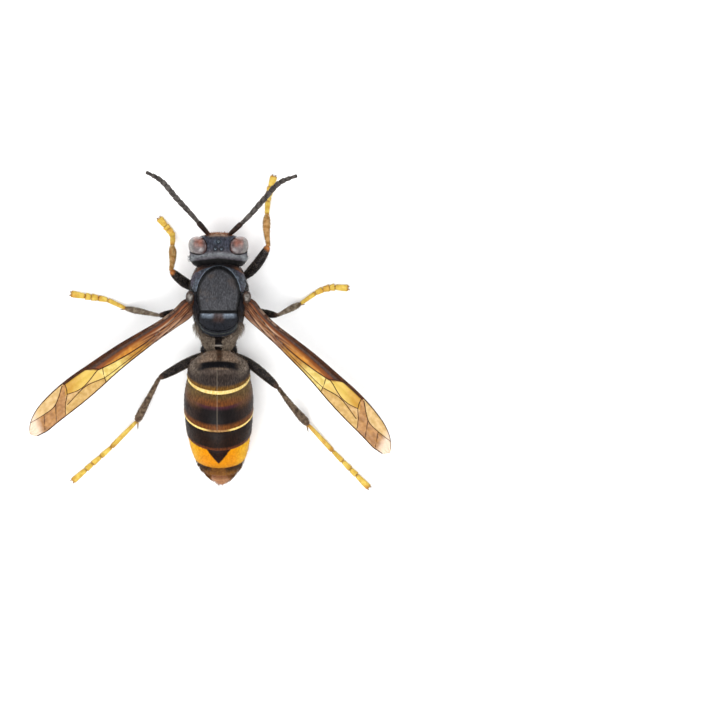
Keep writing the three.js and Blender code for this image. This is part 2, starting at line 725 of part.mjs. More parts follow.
function buildLeg(name, pose) {
  const { hip, trochanter, knee, ankle, bow } = pose;
  const size = LEG_SIZES[name.split("_")[0]];
  const coxaForm = (grow) => limb([hip, trochanter], tapered(size.coxa, COXA_ROWS), { grow });
  const thighForm = (grow) => {
    const path = [trochanter, between(trochanter, knee, 0.5, bow, THIGH_RISE), knee];
    return limb(path, tapered(size.femur, FEMUR_ROWS), { grow, stops: roundStops(9) });
  };
  const shinForm = (grow) => {
    const path = [knee, between(knee, ankle, 0.5, -bow * 0.4, SHIN_RISE), ankle];
    return limb(path, tapered(size.tibia, TIBIA_ROWS), { grow, stops: roundStops(9) });
  };
  const shin = [cut(shinForm(0), thighForm(GAP))];
  if (size.spur > 0) {
    const length = vector(knee).distanceTo(vector(ankle));
    const [x, y, z] = between(knee, ankle, 1 + size.spur / length);
    const tip = [x + Math.sign(x) * size.spurOut, y - SPUR_DROP, Math.max(z, SPUR_FLOOR)];
    const root = between(knee, ankle, SPUR_ROOT);
    shin.push(limb([root, tip], SPUR_ROWS, { sides: 5, stops: roundStops(4), floor: 0 }));
  }
  add(`${name}_coxa`, cut(coxaForm(0), thoraxForm(GAP)), black);
  add(`${name}_femur`, cut(thighForm(0), coxaForm(GAP)), black);
  add(`${name}_tibia`, joined(...shin), darkBrown);
  add(`${name}_tarsus`, cut(footForm(pose), shinForm(GAP)), yellow);
}

function buildFeelers() {
  const { stops, widths } = jointed(WHIP_SHARES, WHIP_ROWS, FEELER_RADIUS);
  for (const [name, { root, elbow, whip }] of Object.entries(FEELERS)) {
    const stem = [root, between(root, elbow, 0.5, 0, STEM_RISE), elbow];
    const stemForm = (grow) => limb(stem, STEM_ROWS, { grow });
    add(`scape_${name}`, cut(stemForm(0), headForm(GAP)), darkBrown);
    add(`flagellum_${name}`, cut(limb(whip, widths, { stops }), stemForm(GAP)), darkBrown);
  }
}

// A place on a wing, from its span, its chord and its height over the wing's middle plane
function wingPlace(name, span, chord, height) {
  const sweep = THREE.MathUtils.degToRad(WING_SWEEP[name]);
  const [x, y, z] = WING_PIVOT;
  const out = x + span * Math.cos(sweep) + chord * Math.sin(sweep);
  const ahead = y - span * Math.sin(sweep) + chord * Math.cos(sweep);
  return [SIDES[name] * out, ahead, z - WING_DROP * span + height];
}

// The rows of a forewing's grid: its edges and its two long veins, with a row each side of a ridge
const WING_ROWS = [
  { line: "hind", offset: 0 },
  { line: "hind", offset: 1 },
  { line: "lower", offset: -1 },
  { line: "lower", offset: 0 },
  { line: "lower", offset: 1 },
  { line: "middle", offset: -1 },
  { line: "middle", offset: 0 },
  { line: "middle", offset: 1 },
  { line: "front", offset: -1 },
  { line: "front", offset: 0 },
];
const LINE_ORDER = ["hind", "lower", "middle", "front"];

// The columns of its grid: shares between one crossing line and the next, closer beside a cross vein
function forewingColumns() {
  const places = [];
  FOREWING_LINES.forEach((line, index) => {
    const spread = (neighbour) => VEIN_HALF / Math.abs(FOREWING_LINES[neighbour][0] - line[0]);
    if (line.length > 4) {
      places.push(index - spread(index - 1), index, index + spread(index + 1));
    } else {
      places.push(index);
    }
    if (SPLIT_STRETCHES.includes(index)) {
      places.push(index + 0.5);
    }
  });
  return places.sort((a, b) => a - b);
}

function forewingForm(name) {
  const lines = [FOREWING_HIND, LOWER_VEIN, MIDDLE_VEIN, FOREWING_FRONT].map((rows) => profile(rows));
  const columns = forewingColumns();
  const at = (place, row) => {
    const first = Math.min(Math.floor(place), FOREWING_LINES.length - 2);
    const share = place - first;
    const spanOf = (line) =>
      FOREWING_LINES[first][line] * (1 - share) + FOREWING_LINES[first + 1][line] * share;
    const { line, offset } = WING_ROWS[row];
    const own = LINE_ORDER.indexOf(line);
    const chords = lines.map((curve, index) => curve(spanOf(index))[0]);
    const other = own + offset;
    const reach = offset ? Math.min(VEIN_HALF / Math.abs(chords[other] - chords[own]), 0.35) : 0;
    return [
      spanOf(own) + (offset ? (spanOf(other) - spanOf(own)) * reach : 0),
      chords[own] + (offset ? (chords[other] - chords[own]) * reach : 0),
    ];
  };
  const raised = (place, row, span) => {
    const { line, offset } = WING_ROWS[row];
    const [from, to] = VEIN_SPANS[line] ?? [0, 0];
    if (offset === 0 && span > from && span < to) {
      return 1;
    }
    const crossing = Number.isInteger(place) ? FOREWING_LINES[place] : [];
    if (crossing.length < 5) {
      return 0;
    }
    const order = LINE_ORDER.indexOf(line) + offset * 0.3;
    return order >= LINE_ORDER.indexOf(crossing[4]) && order <= LINE_ORDER.indexOf(crossing[5]) ? 1 : 0;
  };
  return plate(columns.length, WING_ROWS.length, (column, row, face) => {
    const [span, chord] = at(columns[column], row);
    const [hind, front] = [lines[0](span)[0], lines[3](span)[0]];
    const across = (2 * (chord - hind)) / (front - hind) - 1;
    const arch = WING_CAMBER * (1 - across * across);
    const ridge = face > 0 ? VEIN_RISE * raised(columns[column], row, span) : 0;
    return wingPlace(name, span, chord, arch + (face * WING_THICK) / 2 + ridge);
  });
}

function hindwingForm(name) {
  const [hind, front] = [HINDWING_HIND, HINDWING_FRONT].map((rows) => profile(rows));
  const [root, tip] = [HINDWING_HIND[0][0], HINDWING_HIND.at(-1)[0]];
  return plate(HINDWING_COLUMNS, HINDWING_LINES, (column, row, face) => {
    const span = root + (tip - root) * Math.sin((Math.PI / 2) * (column / (HINDWING_COLUMNS - 1)));
    const share = row / (HINDWING_LINES - 1);
    const chord = hind(span)[0] * (1 - share) + front(span)[0] * share;
    const ridge = face > 0 && row === HINDWING_VEIN ? HINDWING_RISE : 0;
    return wingPlace(name, span, chord, (face * WING_THICK) / 2 + ridge - HINDWING_DEPTH);
  });
}

function buildWings() {
  for (const [name, side] of Object.entries(SIDES)) {
    add(`forewing_${name}`, cut(forewingForm(name), thoraxForm(GAP)), amber);
    add(`hindwing_${name}`, cut(hindwingForm(name), thoraxForm(GAP)), amber);
    const { centre, radii, tilt } = TEGULA;
    const cover = oval(mirrored(centre, side), radii, { sides: 14, tilt: tilt * side });
    const wingTop = wingPlace(name, 0, 0, 0)[2] + WING_THICK / 2 + VEIN_RISE;
    const space = box([-SKY, -SKY, 0], [SKY, SKY, wingTop + GAP]);
    add(`tegula_${name}`, cut(cover, thoraxForm(GAP), space), darkBrown);
  }
}

buildHead();
buildFeelers();
buildThorax();
buildAbdomen();
buildWings();
for (const [name, pose] of Object.entries(LEGS)) {
  buildLeg(name, pose);
}

// The origin lies on the floor under the middle of the whole animal.
const bounds = new THREE.Box3().setFromObject(hornet);
const centre = bounds.getCenter(new THREE.Vector3());
hornet.position.set(-centre.x, -centre.y, -bounds.min.z);
hornet.updateMatrixWorld(true);

export default hornet;
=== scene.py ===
# %% [markdown]
# # A yellow-legged hornet queen
# A hornet is a good first insect to model: its hard shell is in clear pieces, each with its own finish.
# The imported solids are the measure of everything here. Each finer piece below takes the place of one
# of them, at the same size and in the same place, and the solids stay behind it for the physics.

# %% Load the frame
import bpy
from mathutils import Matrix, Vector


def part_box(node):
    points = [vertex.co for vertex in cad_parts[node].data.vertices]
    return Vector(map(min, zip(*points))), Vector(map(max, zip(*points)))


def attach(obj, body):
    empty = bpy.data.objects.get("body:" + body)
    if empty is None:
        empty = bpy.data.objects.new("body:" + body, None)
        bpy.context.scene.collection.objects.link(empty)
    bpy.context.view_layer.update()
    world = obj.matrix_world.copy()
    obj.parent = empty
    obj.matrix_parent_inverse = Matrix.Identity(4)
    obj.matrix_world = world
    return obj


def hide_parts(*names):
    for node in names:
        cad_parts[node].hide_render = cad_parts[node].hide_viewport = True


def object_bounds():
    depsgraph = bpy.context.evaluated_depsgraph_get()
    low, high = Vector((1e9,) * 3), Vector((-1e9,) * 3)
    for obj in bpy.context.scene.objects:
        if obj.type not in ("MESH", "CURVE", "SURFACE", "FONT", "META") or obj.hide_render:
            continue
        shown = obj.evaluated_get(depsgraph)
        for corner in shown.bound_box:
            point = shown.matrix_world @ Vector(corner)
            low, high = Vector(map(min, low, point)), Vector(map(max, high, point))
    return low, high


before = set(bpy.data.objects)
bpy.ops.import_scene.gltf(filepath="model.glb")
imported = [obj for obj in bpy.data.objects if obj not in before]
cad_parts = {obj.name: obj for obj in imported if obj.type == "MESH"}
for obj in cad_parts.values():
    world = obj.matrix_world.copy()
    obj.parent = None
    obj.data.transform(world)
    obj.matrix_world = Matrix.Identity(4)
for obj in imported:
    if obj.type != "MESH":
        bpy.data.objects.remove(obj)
cad_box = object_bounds()
whole_size = [round(v * 1000, 1) for v in cad_box[1] - cad_box[0]]
print(len(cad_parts), "solids, and the whole is", whole_size, "mm")

# %% [markdown]
# Blender works in metres and an insect is measured in millimetres, so every length is multiplied by MM.
# Places are given as the animal's own measures: across from its middle, ahead of the roots of its wings,
# and above the floor. The back plate of the thorax is the same on both sides, so its box gives the middle.

# %% Units and places
import bmesh
import bpy
import math
import numpy as np
from contextlib import contextmanager
from mathutils import Matrix, Vector

MM = 0.001
SHIELD_HIND_EDGE = -1.325  # of the back plate, ahead of the wing roots

shield_low, shield_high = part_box("mesoscutum")
MIDDLE = (shield_low.x + shield_high.x) / 2
ROOTS = shield_low.y - SHIELD_HIND_EDGE * MM


def at(x, y, z):
    """A place in the scene, from the animal's own measures."""
    return Vector((MIDDLE + x * MM, ROOTS + y * MM, z * MM))


def own(place):
    """The animal's own measures of a place in the scene."""
    return Vector(((place.x - MIDDLE) / MM, (place.y - ROOTS) / MM, place.z / MM))


print("the wing roots are at", [round(v / MM, 2) for v in at(0, 0, 0)])

# %% [markdown]
# An operator acts on whatever is selected, and the solids come in selected. Each step below therefore
# clears the selection first. Inside edit mode the points to work on are picked by their place, as a
# modeller would with a box.

# %% Select and edit
TOUCHING = 1e-6  # metres within which two places count as one


def choose(*pieces):
    """Selects some pieces alone, the first of them active."""
    bpy.ops.object.select_all(action="DESELECT")
    for piece in pieces:
        piece.select_set(True)
    bpy.context.view_layer.objects.active = pieces[0]


@contextmanager
def edit(piece):
    """Edit mode on one piece, with nothing selected."""
    choose(piece)
    bpy.ops.object.mode_set(mode="EDIT")
    bpy.ops.mesh.select_mode(type="VERT")
    bpy.ops.mesh.select_all(action="DESELECT")
    yield piece
    bpy.ops.object.mode_set(mode="OBJECT")


def pick(test):
    """In edit mode, selects the points that pass the test, which gets a point's place and number."""
    mesh = bpy.context.object.data
    points = bmesh.from_edit_mesh(mesh)
    for point in points.verts:
        point.select = bool(test(point.co, point.index))
    points.select_flush_mode()
    bmesh.update_edit_mesh(mesh)


def nudge(piece, place, move, reach):
    """Pulls the point nearest to a place, and all within reach follows it softly."""
    nearest = min(piece.data.vertices, key=lambda point: (point.co - at(*place)).length).index
    with edit(piece):
        pick(lambda _, index: index == nearest)
        bpy.ops.transform.translate(
            value=Vector(move) * MM,
            use_proportional_edit=True,
            proportional_edit_falloff="SMOOTH",
            proportional_size=reach * MM,
        )


print(len(bpy.context.selected_objects), "objects are selected before the first step")

# %% [markdown]
# The same few steps come back for every piece: add a primitive, put its place into its mesh, apply a
# modifier, copy it, join some, merge doubles. Each gets a short name here, so that the cells below read
# like a maker's notes. A modifier is applied at once, because the next step works on what it made.

# %% Make, settle, copy and join
def start(primitive, name, **settings):
    """Adds a primitive with nothing else selected, and names it."""
    bpy.ops.object.select_all(action="DESELECT")
    primitive(**settings)
    piece = bpy.context.object
    piece.name = name
    piece.data.name = name
    return piece


def settle(piece, matrix=None):
    """Puts a piece's place into its mesh, so that its object sits at the origin."""
    choose(piece)
    if matrix is not None:
        piece.matrix_world = matrix
    bpy.ops.object.transform_apply(location=True, rotation=True, scale=True)
    return piece


def modify(piece, kind, **settings):
    """Adds a modifier and applies it at once."""
    choose(piece)
    modifier = piece.modifiers.new(kind.title(), kind)
    for key, value in settings.items():
        setattr(modifier, key, value)
    bpy.ops.object.modifier_apply(modifier=modifier.name)
    return piece


def less(piece, *blocks, operation="DIFFERENCE"):
    """A piece less some blocks, which are cut away one by one."""
    for block in blocks:
        modify(piece, "BOOLEAN", object=block, operation=operation, solver="EXACT")
    return piece


def copy_of(piece, name):
    """A copy with its own mesh."""
    twin = piece.copy()
    twin.data = piece.data.copy()
    twin.name = twin.data.name = name
    bpy.context.collection.objects.link(twin)
    return twin


def drop(*pieces):
    for piece in pieces:
        bpy.data.objects.remove(piece)


def join(name, pieces):
    choose(*pieces)
    bpy.ops.object.join()
    whole = bpy.context.object
    whole.name = whole.data.name = name
    return whole


def outwards(piece):
    """Merges doubles and turns the faces outwards."""
    with edit(piece):
        bpy.ops.mesh.select_all(action="SELECT")
        bpy.ops.mesh.remove_doubles(threshold=TOUCHING / 10)
        bpy.ops.mesh.normals_make_consistent(inside=False)
    return piece


def ball(name, place, radii, radius=1.0, segments=48, rings=32):
    """A ball at a place, pressed into the radii, which are shares of its radius in millimetres."""
    piece = start(bpy.ops.mesh.primitive_uv_sphere_add, name, segments=segments, ring_count=rings,
                  radius=radius * MM, location=at(*place))
    settle(piece)
    with edit(piece):
        bpy.ops.mesh.select_all(action="SELECT")
        bpy.ops.transform.resize(value=radii, center_override=at(*place))
    return piece


trial = ball("trial", (0, 0, 0), (1, 1, 1))
print("a trial ball has", len(trial.data.polygons), "faces and sits at", list(trial.location))
drop(trial)

# %% [markdown]
# Almost every part of an insect is a tube whose girth changes: a leg, a segment of the abdomen, even
# the head. One helper makes them all. It adds a circle, pushes it into the outline wanted, and extrudes
# it from station to station, resizing the new ring each time. The ends are filled, and a subdivision
# surface rounds the whole.

# %% Extrude a ring from station to station
def profile(rows):
    """A smooth curve through a table's rows, each row a place and what is measured there."""
    rows = np.array(rows, float)
    places, values = rows[:, 0], rows[:, 1:]
    slopes = np.gradient(values, places, axis=0)

    def measure(place):
        k = int(np.clip(np.searchsorted(places, place) - 1, 0, len(places) - 2))
        step = places[k + 1] - places[k]
        t = float(np.clip((place - places[k]) / step, 0, 1))
        ahead = t * t * (3 - 2 * t)
        leaving, coming = t * (1 - t) ** 2 * step, t * t * (t - 1) * step
        level = (1 - ahead) * values[k] + ahead * values[k + 1]
        return level + leaving * slopes[k] + coming * slopes[k + 1]

    return measure


def push_ring(sides, outline):
    """Pushes a circle of radius 1 mm into an outline that is the same on both sides."""
    for k in range(sides // 2 + 1):
        turn = math.pi / 2 - 2 * math.pi * k / sides
        across, ahead = math.cos(turn), math.sin(turn)
        new_across, new_ahead = outline(turn)
        pair = [Vector((side * across, ahead, 0)) * MM for side in (-1, 1)]
        pick(lambda co, _: min((co - place).length for place in pair) < TOUCHING)
        if across > TOUCHING:
            bpy.ops.transform.resize(value=(new_across / across, 1, 1), center_override=(0, 0, 0))
        bpy.ops.transform.translate(value=(0, (new_ahead - ahead) * MM, 0))


def loft(name, stations, sides=16, outline=None, smooth=1, matrix=None, marks=None):
    """Stations are (along, half, deep, ahead, lean, aside): how far up the ring is, half its width and
    depth, how far ahead its middle is, how much it rises for each millimetre ahead, and how far it is
    to the side. The last three are 0 where they are left out. Each ring's mark, or else how far up it
    is, is kept on its points for the finishes to read."""
    stations = [(*station, 0, 0, 0)[:6] for station in stations]
    marks = marks or [station[0] for station in stations]
    piece = start(bpy.ops.mesh.primitive_circle_add, name, vertices=sides, radius=MM)
    with edit(piece):
        if outline:
            push_ring(sides, outline)
        bpy.ops.mesh.select_all(action="SELECT")
        before = (0, 1, 1, 0, 0, 0)
        for k, station in enumerate(stations):
            along, half, deep, ahead, lean, aside = station
            last_along, last_half, last_deep, last_ahead, last_lean, last_aside = before
            move = Vector((aside - last_aside, ahead - last_ahead, along - last_along)) * MM
            centre = Vector((aside, ahead, along)) * MM
            about = {"orient_axis": "X", "center_override": centre}
            if k == 0:
                bpy.ops.transform.translate(value=move)
            else:
                bpy.ops.mesh.extrude_region_move(TRANSFORM_OT_translate={"value": move})
            if last_lean:
                bpy.ops.transform.rotate(value=math.atan(last_lean), **about)
            deeper = deep / last_deep * math.hypot(1, lean) / math.hypot(1, last_lean)
            bpy.ops.transform.resize(value=(half / last_half, deeper, 1), center_override=centre)
            if lean:
                bpy.ops.transform.rotate(value=-math.atan(lean), **about)
            before = station
        bpy.ops.mesh.edge_face_add()
        pick(lambda _, index: index < sides)
        bpy.ops.mesh.edge_face_add()
        bpy.ops.mesh.select_all(action="SELECT")
        bpy.ops.mesh.normals_make_consistent(inside=False)
    mark = piece.data.attributes.new("mark", "FLOAT", "POINT")
    mark.data.foreach_set("value", [marks[index // sides] for index in range(len(mark.data))])
    if matrix is not None:
        settle(piece, matrix)
    if smooth:
        modify(piece, "SUBSURF", levels=smooth, render_levels=smooth)
    return piece


def stations_of(rows):
    """Stations from rows of a place, half a width, and where the ring begins and ends the other way."""
    return [(place, half, (front - back) / 2, (front + back) / 2) for place, half, front, back in rows]


def squared(power_front, power_back=None):
    """An outline between an oval, 1, and a box, less than 1, for the front and the back half."""
    powers = (power_front, power_front if power_back is None else power_back)

    def outline(turn):
        power = powers[0] if math.sin(turn) >= 0 else powers[1]
        across, ahead = math.cos(turn), math.sin(turn)
        return abs(across) ** power, math.copysign(abs(ahead) ** power, ahead)

    return outline


UPRIGHT = Matrix.Translation(at(0, 0, 0))
SIDES = {"left": -1, "right": 1}
print("a box with round edges reaches", [round(v, 2) for v in squared(0.5)(math.pi / 4)], "at its corner")

# %% [markdown]
# A leg, a vein or a feeler is a loft too, laid along a line. The line is smooth and runs through a few
# given points, and the loft is first turned to point from its one end to the other.

# %% Lay a loft along a line
FINE_STEPS = 80  # in which a line is measured


def along_limb(start_place, end_place, up=(0, 0, 1)):
    """A matrix that lays the loft's height along a limb, with its ahead turned upwards."""
    way = (end_place - start_place).normalized()
    side = Vector(up).cross(way).normalized()
    rise = way.cross(side)
    basis = Matrix((side, rise, way)).transposed().to_4x4()
    return Matrix.Translation(start_place) @ basis


def route(points):
    """A smooth line through points, as a function of the share of the way, and its length."""
    points = np.array(points, float)
    steps = np.linalg.norm(np.diff(points, axis=0), axis=1)
    knots = np.concatenate(([0], np.cumsum(steps)))
    curve = profile(np.column_stack((knots, points)))
    fine = np.array([curve(knot) for knot in np.linspace(0, knots[-1], FINE_STEPS)])
    lengths = np.concatenate(([0], np.cumsum(np.linalg.norm(np.diff(fine, axis=0), axis=1))))

    def place(share):
        return [float(np.interp(share * lengths[-1], lengths, fine[:, axis])) for axis in range(3)]

    return place, lengths[-1]


def limb(name, points, rows, sides=16, smooth=1, place=at, up=(0, 0, 1)):
    """A tube along a gently bent line. Rows are (share of the way, half width, half depth)."""
    line, _ = route(points)
    matrix = along_limb(place(*points[0]), place(*points[-1]), up)
    stations = []
    for share, half, deep in rows:
        spot = matrix.inverted() @ place(*line(share)) / MM
        stations.append((spot.z, half, deep, spot.y, 0, spot.x))
    return loft(name, stations, sides, smooth=smooth, matrix=matrix, marks=[row[0] for row in rows])


print("a straight line of 2 mm measures", round(route([(0, 0, 0), (1, 0, 0), (2, 0, 0)])[1], 3))

# %% [markdown]
# A finish is a small sum: how brown, how rough, how far a pit goes in. Written as Python it reads like
# one, so a wire from a socket is wrapped in a class whose operators add the Math nodes. Colours are
# mixed by Mix nodes, because a Math node would turn them grey.

# %% Wires that can be added up
class Wire:
    """The value that leaves a socket, to be used in sums."""

    def __init__(self, finish, socket):
        self.finish = finish
        self.socket = socket

    def maths(self, operation, *terms):
        return self.finish.node("ShaderNodeMath", {"operation": operation}, dict(enumerate(terms)))

    def __add__(self, other):
        return self.maths("ADD", self, other)

    def __sub__(self, other):
        return self.maths("SUBTRACT", self, other)

    def __rsub__(self, other):
        return self.maths("SUBTRACT", other, self)

    def __mul__(self, other):
        return self.maths("MULTIPLY", self, other)

    def __truediv__(self, other):
        return self.maths("DIVIDE", self, other)

    def __pow__(self, other):
        return self.maths("POWER", self, other)

    __radd__ = __add__
    __rmul__ = __mul__

    def size(self):
        return self.maths("ABSOLUTE", self)

    def rise(self, low, high):
        """0 up to low and 1 from high, smooth between, or the other way where high is the lower one."""
        settings = {"interpolation_type": "SMOOTHSTEP", "clamp": True}
        values = {"Value": self, "From Min": min(low, high), "From Max": max(low, high)}
        values["To Min"], values["To Max"] = (0, 1) if low < high else (1, 0)
        return self.finish.node("ShaderNodeMapRange", settings, values)

    def band(self, low, high, soft):
        """1 between low and high, and soft at both edges."""
        return self.rise(low - soft, low + soft) * self.rise(high + soft, high - soft)


class Finish:
    """A material in the making. Its shader's own sockets hold what is the same all over."""

    def __init__(self, name, **constants):
        self.material = bpy.data.materials.new(name)
        self.material.use_nodes = True
        self.tree = self.material.node_tree
        self.shader = self.tree.nodes["Principled BSDF"]
        for socket, value in constants.items():
            self.shader.inputs[socket.replace("_", " ")].default_value = value

    def feed(self, socket, value):
        if isinstance(value, Wire):
            self.tree.links.new(value.socket, socket)
        else:
            socket.default_value = value

    def node(self, kind, settings=None, values=None, output=0):
        """Adds a node: its settings first, then the values or wires of its sockets."""
        node = self.tree.nodes.new(kind)
        for key, value in (settings or {}).items():
            setattr(node, key, value)
        for key, value in (values or {}).items():
            self.feed(node.inputs[key], value)
        return Wire(self, node.outputs[output])

    def place(self):
        """The animal's own measures, in millimetres, at the point that is shaded."""
        spot = self.node("ShaderNodeTexCoord", output="Object")
        shift = {"Vector": spot, "Location": (-MIDDLE / MM, -ROOTS / MM, 0), "Scale": (1 / MM,) * 3}
        return self.node("ShaderNodeMapping", {"vector_type": "POINT"}, shift)

    def mark(self, name="mark"):
        """A mark of the point that is shaded, such as how far along the piece its ring is."""
        return self.node("ShaderNodeAttribute", {"attribute_name": name}, output=2)

    def axes(self, place):
        return [self.node("ShaderNodeSeparateXYZ", values={0: place}, output=k) for k in range(3)]

    def noise(self, place, size, detail=2.0, stretch=(1, 1, 1)):
        """Soft blotches about as many millimetres across as size says, from 0 to 1."""
        if stretch != (1, 1, 1):
            place = self.node("ShaderNodeMapping", values={"Vector": place, "Scale": stretch})
        values = {"Vector": place, "Scale": 1 / size, "Detail": detail}
        return self.node("ShaderNodeTexNoise", values=values)

    def cells(self, place, size, feature="F1"):
        """The distance to the nearest of many scattered points, size millimetres apart."""
        return self.node("ShaderNodeTexVoronoi", {"feature": feature}, {"Vector": place, "Scale": 1 / size})

    def mix(self, share, first, second):
        """One colour turning into another as the share goes from 0 to 1."""
        return self.node("ShaderNodeMix", {"data_type": "RGBA"}, {0: share, 6: first, 7: second}, output=2)

    def bump(self, height, depth, before=None):
        """Relief as deep in millimetres as depth says where the height goes from 0 to 1."""
        values = {"Height": height, "Distance": depth * MM, "Strength": 1.0}
        if before is not None:
            values["Normal"] = before
        return self.node("ShaderNodeBump", values=values)

    def done(self, **wires):
        for socket, value in wires.items():
            self.feed(self.shader.inputs[socket.replace("_", " ")], value)
        return self.material


def paint(code):
    """A colour as a painter's code of six hex digits, turned into the light that the shader counts in."""
    parts = [int(code[k:k + 2], 16) / 255 for k in (0, 2, 4)]
    return (*[p / 12.92 if p < 0.04045 else ((p + 0.055) / 1.055) ** 2.4 for p in parts], 1)


print("white paint is", paint("ffffff"))

# %% [markdown]
# Every finished piece is told two things: the body that it moves with, and the solid that it stands for.
# A still animal has one body, called root.

# %% Hand a piece over
made = []


def finished(piece, material, slot, *nodes, sharp=None):
    """Smooths a piece, up to edges sharper than an angle, and says what it is made of and stands for."""
    choose(piece)
    if sharp:
        bpy.ops.object.shade_smooth_by_angle(angle=math.radians(sharp))
    else:
        bpy.ops.object.shade_smooth()
    piece.data.materials.clear()
    piece.data.materials.append(material)
    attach(piece, "root")
    if nodes:
        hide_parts(*nodes)
    made.append(piece)
    return piece


# %% [markdown]
# The camera comes first, so that the first render already has the photograph's framing. The picture
# looks straight down and is nearly without perspective, so the camera hangs 2 m up with a very long
# lens. The chart beside the animal gives the scale, 8.305 pixels to the millimetre.

# %% Camera
PICTURE = 720  # pixels along each side
SCALE = 8.305  # pixels to the millimetre
MIDDLE_COLUMN = 219  # of the picture, where the animal's middle is
ROOTS_ROW = 300  # of the picture, where the wing roots are
CAMERA_HEIGHT = 2.0
SENSOR = 36.0

picture_width = PICTURE / SCALE
looked_at = at((PICTURE / 2 - MIDDLE_COLUMN) / SCALE, (ROOTS_ROW - PICTURE / 2) / SCALE, 0)
bpy.ops.object.camera_add(location=(looked_at.x, looked_at.y, CAMERA_HEIGHT), rotation=(0, 0, 0))
camera = bpy.context.object
camera.data.sensor_width = SENSOR
camera.data.lens = SENSOR * CAMERA_HEIGHT / (picture_width * MM)
bpy.context.scene.camera = camera
print("the picture is", round(picture_width, 1), "mm wide through a lens of", round(camera.data.lens), "mm")

# %% [markdown]
# A museum photographs a specimen in a tent of soft light, so that its black shell shows its form and
# casts hardly a shadow. One broad lamp hangs overhead behind the animal's tail, which puts the glint on
# the hind part of the eyes, and two weaker ones fill from the sides. The floor is white card with a
# faint tooth.

# %% Light and floor
FLOOR_SIZE = 3.0

floor_finish = Finish("white_card", Roughness=0.9)
tooth = floor_finish.noise(floor_finish.place(), 0.6, 3)
floor_white = floor_finish.mix(tooth, paint("f7f7f6"), paint("fdfdfc"))
floor_material = floor_finish.done(Base_Color=floor_white, Normal=floor_finish.bump(tooth, 0.01))
floor = start(bpy.ops.mesh.primitive_plane_add, "floor", size=FLOOR_SIZE)
floor.data.materials.append(floor_material)

LAMPS = {
    "overhead": dict(place=(-0.15, -0.35, 0.9), size=0.7, watts=9.0),
    "left_fill": dict(place=(-0.8, 0.3, 0.5), size=0.6, watts=3.0),
    "right_fill": dict(place=(0.8, 0.2, 0.5), size=0.6, watts=3.0),
}
for name, lamp in LAMPS.items():
    spot = Vector(lamp["place"])
    bpy.ops.object.light_add(type="AREA", location=spot)
    light = bpy.context.object
    light.name = name
    light.data.size = lamp["size"]
    light.data.energy = lamp["watts"]
    light.rotation_euler = (-spot).to_track_quat("-Z", "Y").to_euler()

bpy.context.scene.view_settings.view_transform = "Standard"
world = bpy.data.worlds.new("tent")
bpy.context.scene.world = world
world.use_nodes = True
world.node_tree.nodes["Background"].inputs["Color"].default_value = paint("f4f6fa")
world.node_tree.nodes["Background"].inputs["Strength"].default_value = 0.75
print(len(LAMPS), "lamps in a white tent")

# %% [markdown]
# ## The shell's finish
# A hornet's shell is hard and a little glossy, with fine pits, and a bloom of tiny hairs greys it. All
# of the shell's finishes share that: a colour of their own, soft blotches that make the shine uneven,
# and two sizes of relief. Only the colour plan differs, so it is handed in as a function.

# %% Shell finish
def shell(name, colours, rough=0.4, uneven=0.25, pit=0.14, pit_depth=0.012, grain_depth=0.004, **constants):
    finish = Finish(name, **{"Specular_IOR_Level": 0.1, **constants})
    place = finish.place()
    blotches = finish.noise(place, 1.1, 3)
    pits = finish.cells(place, pit).rise(0.12, 0.42)
    grain = finish.noise(place, 0.06, 2)
    roughness = blotches * uneven + (rough - uneven / 2)
    relief = finish.bump(pits, pit_depth, finish.bump(grain, grain_depth))
    return finish.done(Base_Color=colours(finish, place), Roughness=roughness, Normal=relief)


def flecked(finish, place, dark, light, size=0.5, stretch=(1, 1, 1)):
    """Two tones of one colour, in soft flecks."""
    return finish.mix(finish.noise(place, size, 3, stretch).rise(0.3, 0.75), paint(dark), paint(light))


def furrow(wire, where, half):
    """1 in the bottom of a furrow and 0 outside it."""
    return (wire - where).size().rise(half, 0)


def black_plan(finish, place):
    return flecked(finish, place, "0d0c0d", "232226")


black_shell = shell("black_shell", black_plan, Sheen_Weight=0.08, Sheen_Roughness=0.4,
                    Sheen_Tint=paint("9aa0ad"))
print("black shell is mixed")

# %% [markdown]
# ## Head
# Seen from above a hornet's head is a wide, boxy capsule, hollowed behind for the neck. The rings go up
# from the chin to the crown. Each is squarer behind than in front. The hollow is then cut with a flattened
# ball, and sockets for the eyes are cut a hair wider than the eyes, which leaves the dark line round them.

# %% Head capsule
OCELLI = [(0, 6.95), (-0.36, 6.08), (0.36, 6.08)]  # three simple eyes on the crown, across and ahead
OCELLUS_RADIUS = 0.21
HEAD_ROWS = [  # height, half width, front, back
    (2.85, 0.9, 7.2, 6.2),
    (3.0, 1.5, 7.45, 5.8),
    (3.5, 2.05, 7.7, 5.3),
    (4.4, 2.85, 7.8, 4.55),
    (5.5, 3.4, 7.87, 3.95),
    (6.6, 3.55, 7.97, 3.7),
    (7.5, 3.38, 7.92, 3.75),
    (8.15, 2.98, 7.65, 4.15),
    (8.55, 2.25, 7.25, 4.7),
    (8.78, 1.15, 6.8, 5.3),
]
FACE_SQUARE = 0.85
NAPE_SQUARE = 0.5
WIDEST = 0.12  # how far ahead of its middle a ring is widest, as a share of its half depth
HOLLOW_PLACE = (0, 3.0, 6.9)
HOLLOW_RADII = (3.15, 1.8, 2.2)
CROWN_EDGE = 5.15  # how far ahead the crown ends and the hind face, painted near-black as shade, begins


def head_outline(turn):
    across, ahead = squared(FACE_SQUARE, NAPE_SQUARE)(turn)
    return across, WIDEST + ahead * (1 - WIDEST if ahead > 0 else 1 + WIDEST)


